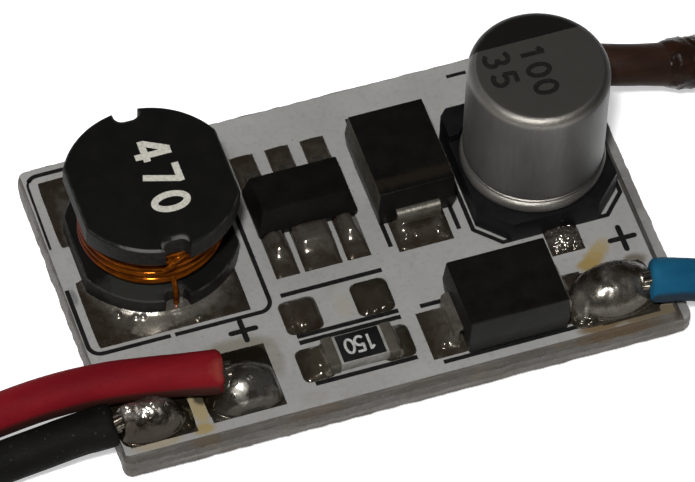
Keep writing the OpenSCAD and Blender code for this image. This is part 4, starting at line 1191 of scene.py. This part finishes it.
def chip_solder():
    """Three pads in front, with solder over the lead tips, and three flat ones at the rear."""
    def height(x, y, u, v, key):
        cx, front, lead_half = key
        past_tip = max((0.35 - y) if front else (y - 4.55), 0.0)
        over = 0.40 * step(abs(x - cx) - lead_half, 0.09) if front else 0.05
        over *= math.exp(-(past_tip / 0.42) ** 2) * (1 - abs(v) ** 12)
        film = crown(u, v, 0.03, 0.22 if front else 0.14)
        return film + over + 0.015 * rough(x, y, 0, 0.4, cx)
    pads = []
    for front, cy in ((True, 0.2), (False, 4.6)):
        for cx in (-3.30, 0.0, CHIP_X):
            tab = front and cx == CHIP_X
            pads.append(((cx, cy, 1.75 if tab else 1.1, 2.4), (cx, front, 0.8 if tab else 0.3)))
    solder("chip_joints", "chip_solder", PAD_SOLDER, pads, height, 26, 40)


def resistor():
    core, film, caps = Shape(), Shape(), Shape()
    block(core, RES_X, RES_Y, ((1.55, 0.75, 0.05), (1.55, 0.75, 0.6)))
    block(film, RES_X, RES_Y, ((0.98, 0.70, 0.58), (0.98, 0.70, 0.655)))
    for side in (1, -1):
        block(caps, RES_X + side * 1.35, RES_Y, ((0.25, 0.8, 0.0), (0.25, 0.8, 0.65)))
    piece("resistor_core", core, CERAMIC, "resistor", "resistor_body", bevel=0.03)
    piece("resistor_film", film, GLAZE, "glaze", "resistor_glaze", bevel=0.02)
    piece("resistor_ends", caps, CAP_TIN, "tinned", "resistor_caps", bevel=0.09, segments=3)
    value = Shape()
    digits(value, "150", (-0.92, -5.32), (-1, 0), (0, -1), 0.50, 0.50, 0.115, 0.92, TOP + 0.65, TOP + 0.665)
    piece("resistor_value", value, GREY_MARK, "white_coat")


RESISTOR_DROPS = ((-3.58, -5.99, 0.16, 0.08), (-3.36, -6.45, 0.18, 0.10), (-0.15, -6.5, 0.16, 0.08))


def resistor_solder():
    """Two pads, each with a wall of solder that climbs an end cap."""
    def height(x, y, u, v, side):
        out = side * (x - RES_X) - 1.6
        wall = 0.46 * math.exp(-max(out, 0.0) / 0.29) if out > -0.15 else 0.1
        wall *= step(abs(y - RES_Y) - 0.74, 0.06) * faded(u, v)
        film = crown(u, v, 0.03, 0.14, 5) + 0.02 * rough(x, y, 0, 0.4, 9 + side)
        return film + wall + warts(x, y, RESISTOR_DROPS)
    pads = [((-1.8 + side * 1.85, RES_Y, 1.5, 1.75), side) for side in (1, -1)]
    solder("resistor_joints", "resistor_solder", SPARE_SOLDER, pads, height, 40, 40, 0.2)


SPARE_DROPS = ((-4.05, -3.8, 0.24, 0.10), (-3.42, -3.9, 0.26, 0.10), (-3.4, -3.0, 0.1, 0.03),
               (-0.62, -3.85, 0.12, 0.05), (-0.2, -3.92, 0.14, 0.06), (0.15, -3.85, 0.1, 0.04))


def spare_solder():
    """The domes of the place with no resistor, the left one higher."""
    def height(x, y, u, v, key):
        seed, high = key
        return crown(u, v, 0.04, high, 3) + warts(x, y, SPARE_DROPS) + 0.02 * rough(x, y, 0, 0.45, seed)
    pads = [((-3.45, -3.15, 1.7, 1.8), (3, 0.42)), ((-0.15, -3.15, 1.7, 1.8), (4, 0.231))]
    solder("spare_domes", "spare_pad_solder", SPARE_SOLDER, pads, height, 44, 44, 0.22)


chip()
diode("catch_mould", CATCH, "catch_diode_body", BANDED)
diode("input_mould", INPUT, "input_diode_body", MOULD)
diode_leads("catch_bends", CATCH, "catch_diode_leads")
diode_leads("input_bends", INPUT, "input_diode_leads")
diode_solder("catch_joints", CATCH, "catch_diode_solder")
diode_solder("input_joints", INPUT, "input_diode_solder", -0.2)
chip_solder()
resistor()
resistor_solder()
spare_solder()
for name in ("chip_leads", "inductor_terminals", "capacitor_terminals"):
    dress(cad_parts[name].data, TIN)


# Joints of the leads

def dome(x, y, cx, cy, rx, ry, high, power=0.7):
    """The height of an oval dome, steeper at its rim where the power is low."""
    return high * max(0.0, 1 - ((x - cx) / rx) ** 2 - ((y - cy) / ry) ** 2) ** power


def joint(name, pad, domes, material, node, seed, lumps, grit=0.0):
    """Solder over a pad: a thin film with domes that flow into each other, as lumpy and gritty as it says."""
    def height(x, y, u, v, seed):
        film = crown(u, v, 0.03, 0.16, 6)
        z = sum(dome(x, y, *d) ** 3 for d in domes) ** (1 / 3)
        z += lumps * min(1.0, z) * (rough(x, y, 0, 0.55, seed) + 0.5 * rough(x, y, 0, 0.25, seed + 4))
        z += grit * min(1.0, z) * (rough(x, y, 0, 0.16, seed + 7) + 0.6 * rough(x, y, 0, 0.09, seed + 8))
        rim = min(1.0, (1 - max(abs(u), abs(v))) / 0.16)
        return math.hypot(film, max(0.0, z) * (1 - (1 - rim) ** 2))
    solder(name, node, material, [(pad, seed)], height, 120, 110, 0.10)


joint("led_minus_joint", (-11.25, -5.85, 3.4, 3.4),
      ((-11.5, -6.5, 1.75, 1.1, 1.45, 0.8), (-12.55, -6.45, 0.8, 0.75, 1.35),
       (-10.1, -6.7, 0.8, 0.7, 0.35, 1.5), (-9.85, -7.2, 0.12, 0.1, 0.12), (-12.4, -7.25, 0.2, 0.15, 0.15),
       (-11.0, -7.3, 0.15, 0.12, 0.12), (-12.1, -6.6, 0.14, 0.14, 1.25), (-11.15, -6.85, 0.13, 0.13, 1.2),
       (-10.75, -6.55, 0.12, 0.12, 1.0), (-12.7, -6.95, 0.13, 0.12, 0.7)),
      MINUS_SOLDER, "led_minus_solder", 11, 0.07, 0.03)
joint("led_plus_joint", (-7.2, -5.7, 3.4, 3.35),
      ((-7.05, -6.15, 1.9, 1.45, 1.3, 0.9), (-8.1, -5.62, 0.75, 0.9, 1.62, 0.8),
       (-7.6, -6.35, 0.2, 0.2, 0.95), (-7.8, -6.85, 0.12, 0.12, 0.5), (-7.45, -7.15, 0.14, 0.12, 0.2),
       (-6.4, -7.2, 0.1, 0.08, 0.1), (-6.85, -6.35, 0.16, 0.14, 0.92)),
      PLUS_SOLDER, "led_plus_solder", 12, 0.02)
joint("input_plus_joint", (9.8, -6.15, 4.2, 2.85),
      ((10.0, -6.17, 2.1, 1.38, 1.52, 0.5), (11.5, -6.5, 0.5, 0.7, 1.15, 0.7), (8.45, -6.85, 0.22, 0.25, 0.5),
       (8.2, -7.2, 0.2, 0.12, 0.14), (8.6, -7.38, 0.24, 0.12, 0.16), (8.25, -6.2, 0.2, 0.3, 0.5)),
      SUPPLY_SOLDER, "input_plus_solder", 13, 0.035, 0.006)
joint("input_minus_joint", (10.95, 6.2, 2.4, 2.6),
      ((10.8, 6.15, 1.1, 1.05, 1.75), (11.5, 5.95, 0.65, 0.7, 1.55)),
      SUPPLY_SOLDER, "input_minus_solder", 14, 0.04)


# Stage and light, with places and sizes in metres and power in watts

FLOOR_HALF = 6.0
FLOOR_GREY, FLOOR_GLOW = 0.82, 0.45
LAMPS = (  # name, place, size, power, and whether it shows in reflections
    ("flash", back * 0.42 + up * 0.05 - right * 0.02, 0.035, 1.75, True),
    ("soft_left", Vector((-0.55, 0.05, 0.22)), 0.3, 0.8, False),
    ("soft_right", Vector((0.55, -0.15, 0.22)), 0.3, 0.4, False),
    ("soft_back", Vector((0.0, 0.6, 0.14)), 0.3, 1.0, False))


def floor():
    """A matt floor that looks white to the camera and in reflections."""
    r = FLOOR_HALF
    mesh = bpy.data.meshes.new("floor")
    mesh.from_pydata([(-r, -r, 0), (r, -r, 0), (r, r, 0), (-r, r, 0)], [], [(0, 1, 2, 3)])
    ground = bpy.data.objects.new("floor", mesh)
    scene.collection.objects.link(ground)
    pale = bpy.data.materials.new("pale_floor")
    n = Nodes(pale)
    rays = n.tree.nodes.new("ShaderNodeLightPath").outputs
    seen = n.math("MAXIMUM", rays["Is Glossy Ray"], rays["Is Transmission Ray"])
    seen = n.math("MAXIMUM", rays["Is Camera Ray"], seen)
    glow = n.node("ShaderNodeEmission", Strength=n.times(seen, FLOOR_GLOW))
    matt = n.node("ShaderNodeBsdfDiffuse", Color=[FLOOR_GREY] * 3)
    n.node("ShaderNodeOutputMaterial", i0=n.node("ShaderNodeAddShader", i0=matt, i1=glow))
    mesh.materials.append(pale)


def studio():
    """A world that is pale at the horizon and dark above."""
    world = bpy.data.worlds.new("studio")
    scene.world = world
    n = Nodes(world)
    height = n.node("ShaderNodeSeparateXYZ", out=2, Vector=n.node("ShaderNodeTexCoord", out="Generated"))
    sky = n.ramp(height, (0.0, 0.7), (0.3, (0.022, 0.022, 0.023)))
    n.node("ShaderNodeOutputWorld", i0=n.node("ShaderNodeBackground", Color=sky))


def lamp(name, where, size, power, shine):
    light = bpy.data.lights.new(name, "AREA")
    light.shape = "DISK"
    light.size = size
    light.energy = power
    o = bpy.data.objects.new(name, light)
    o.location = where
    o.rotation_euler = (-where).to_track_quat("-Z", "Y").to_euler()
    o.visible_glossy = shine
    scene.collection.objects.link(o)


floor()
studio()
for row in LAMPS:
    lamp(*row)
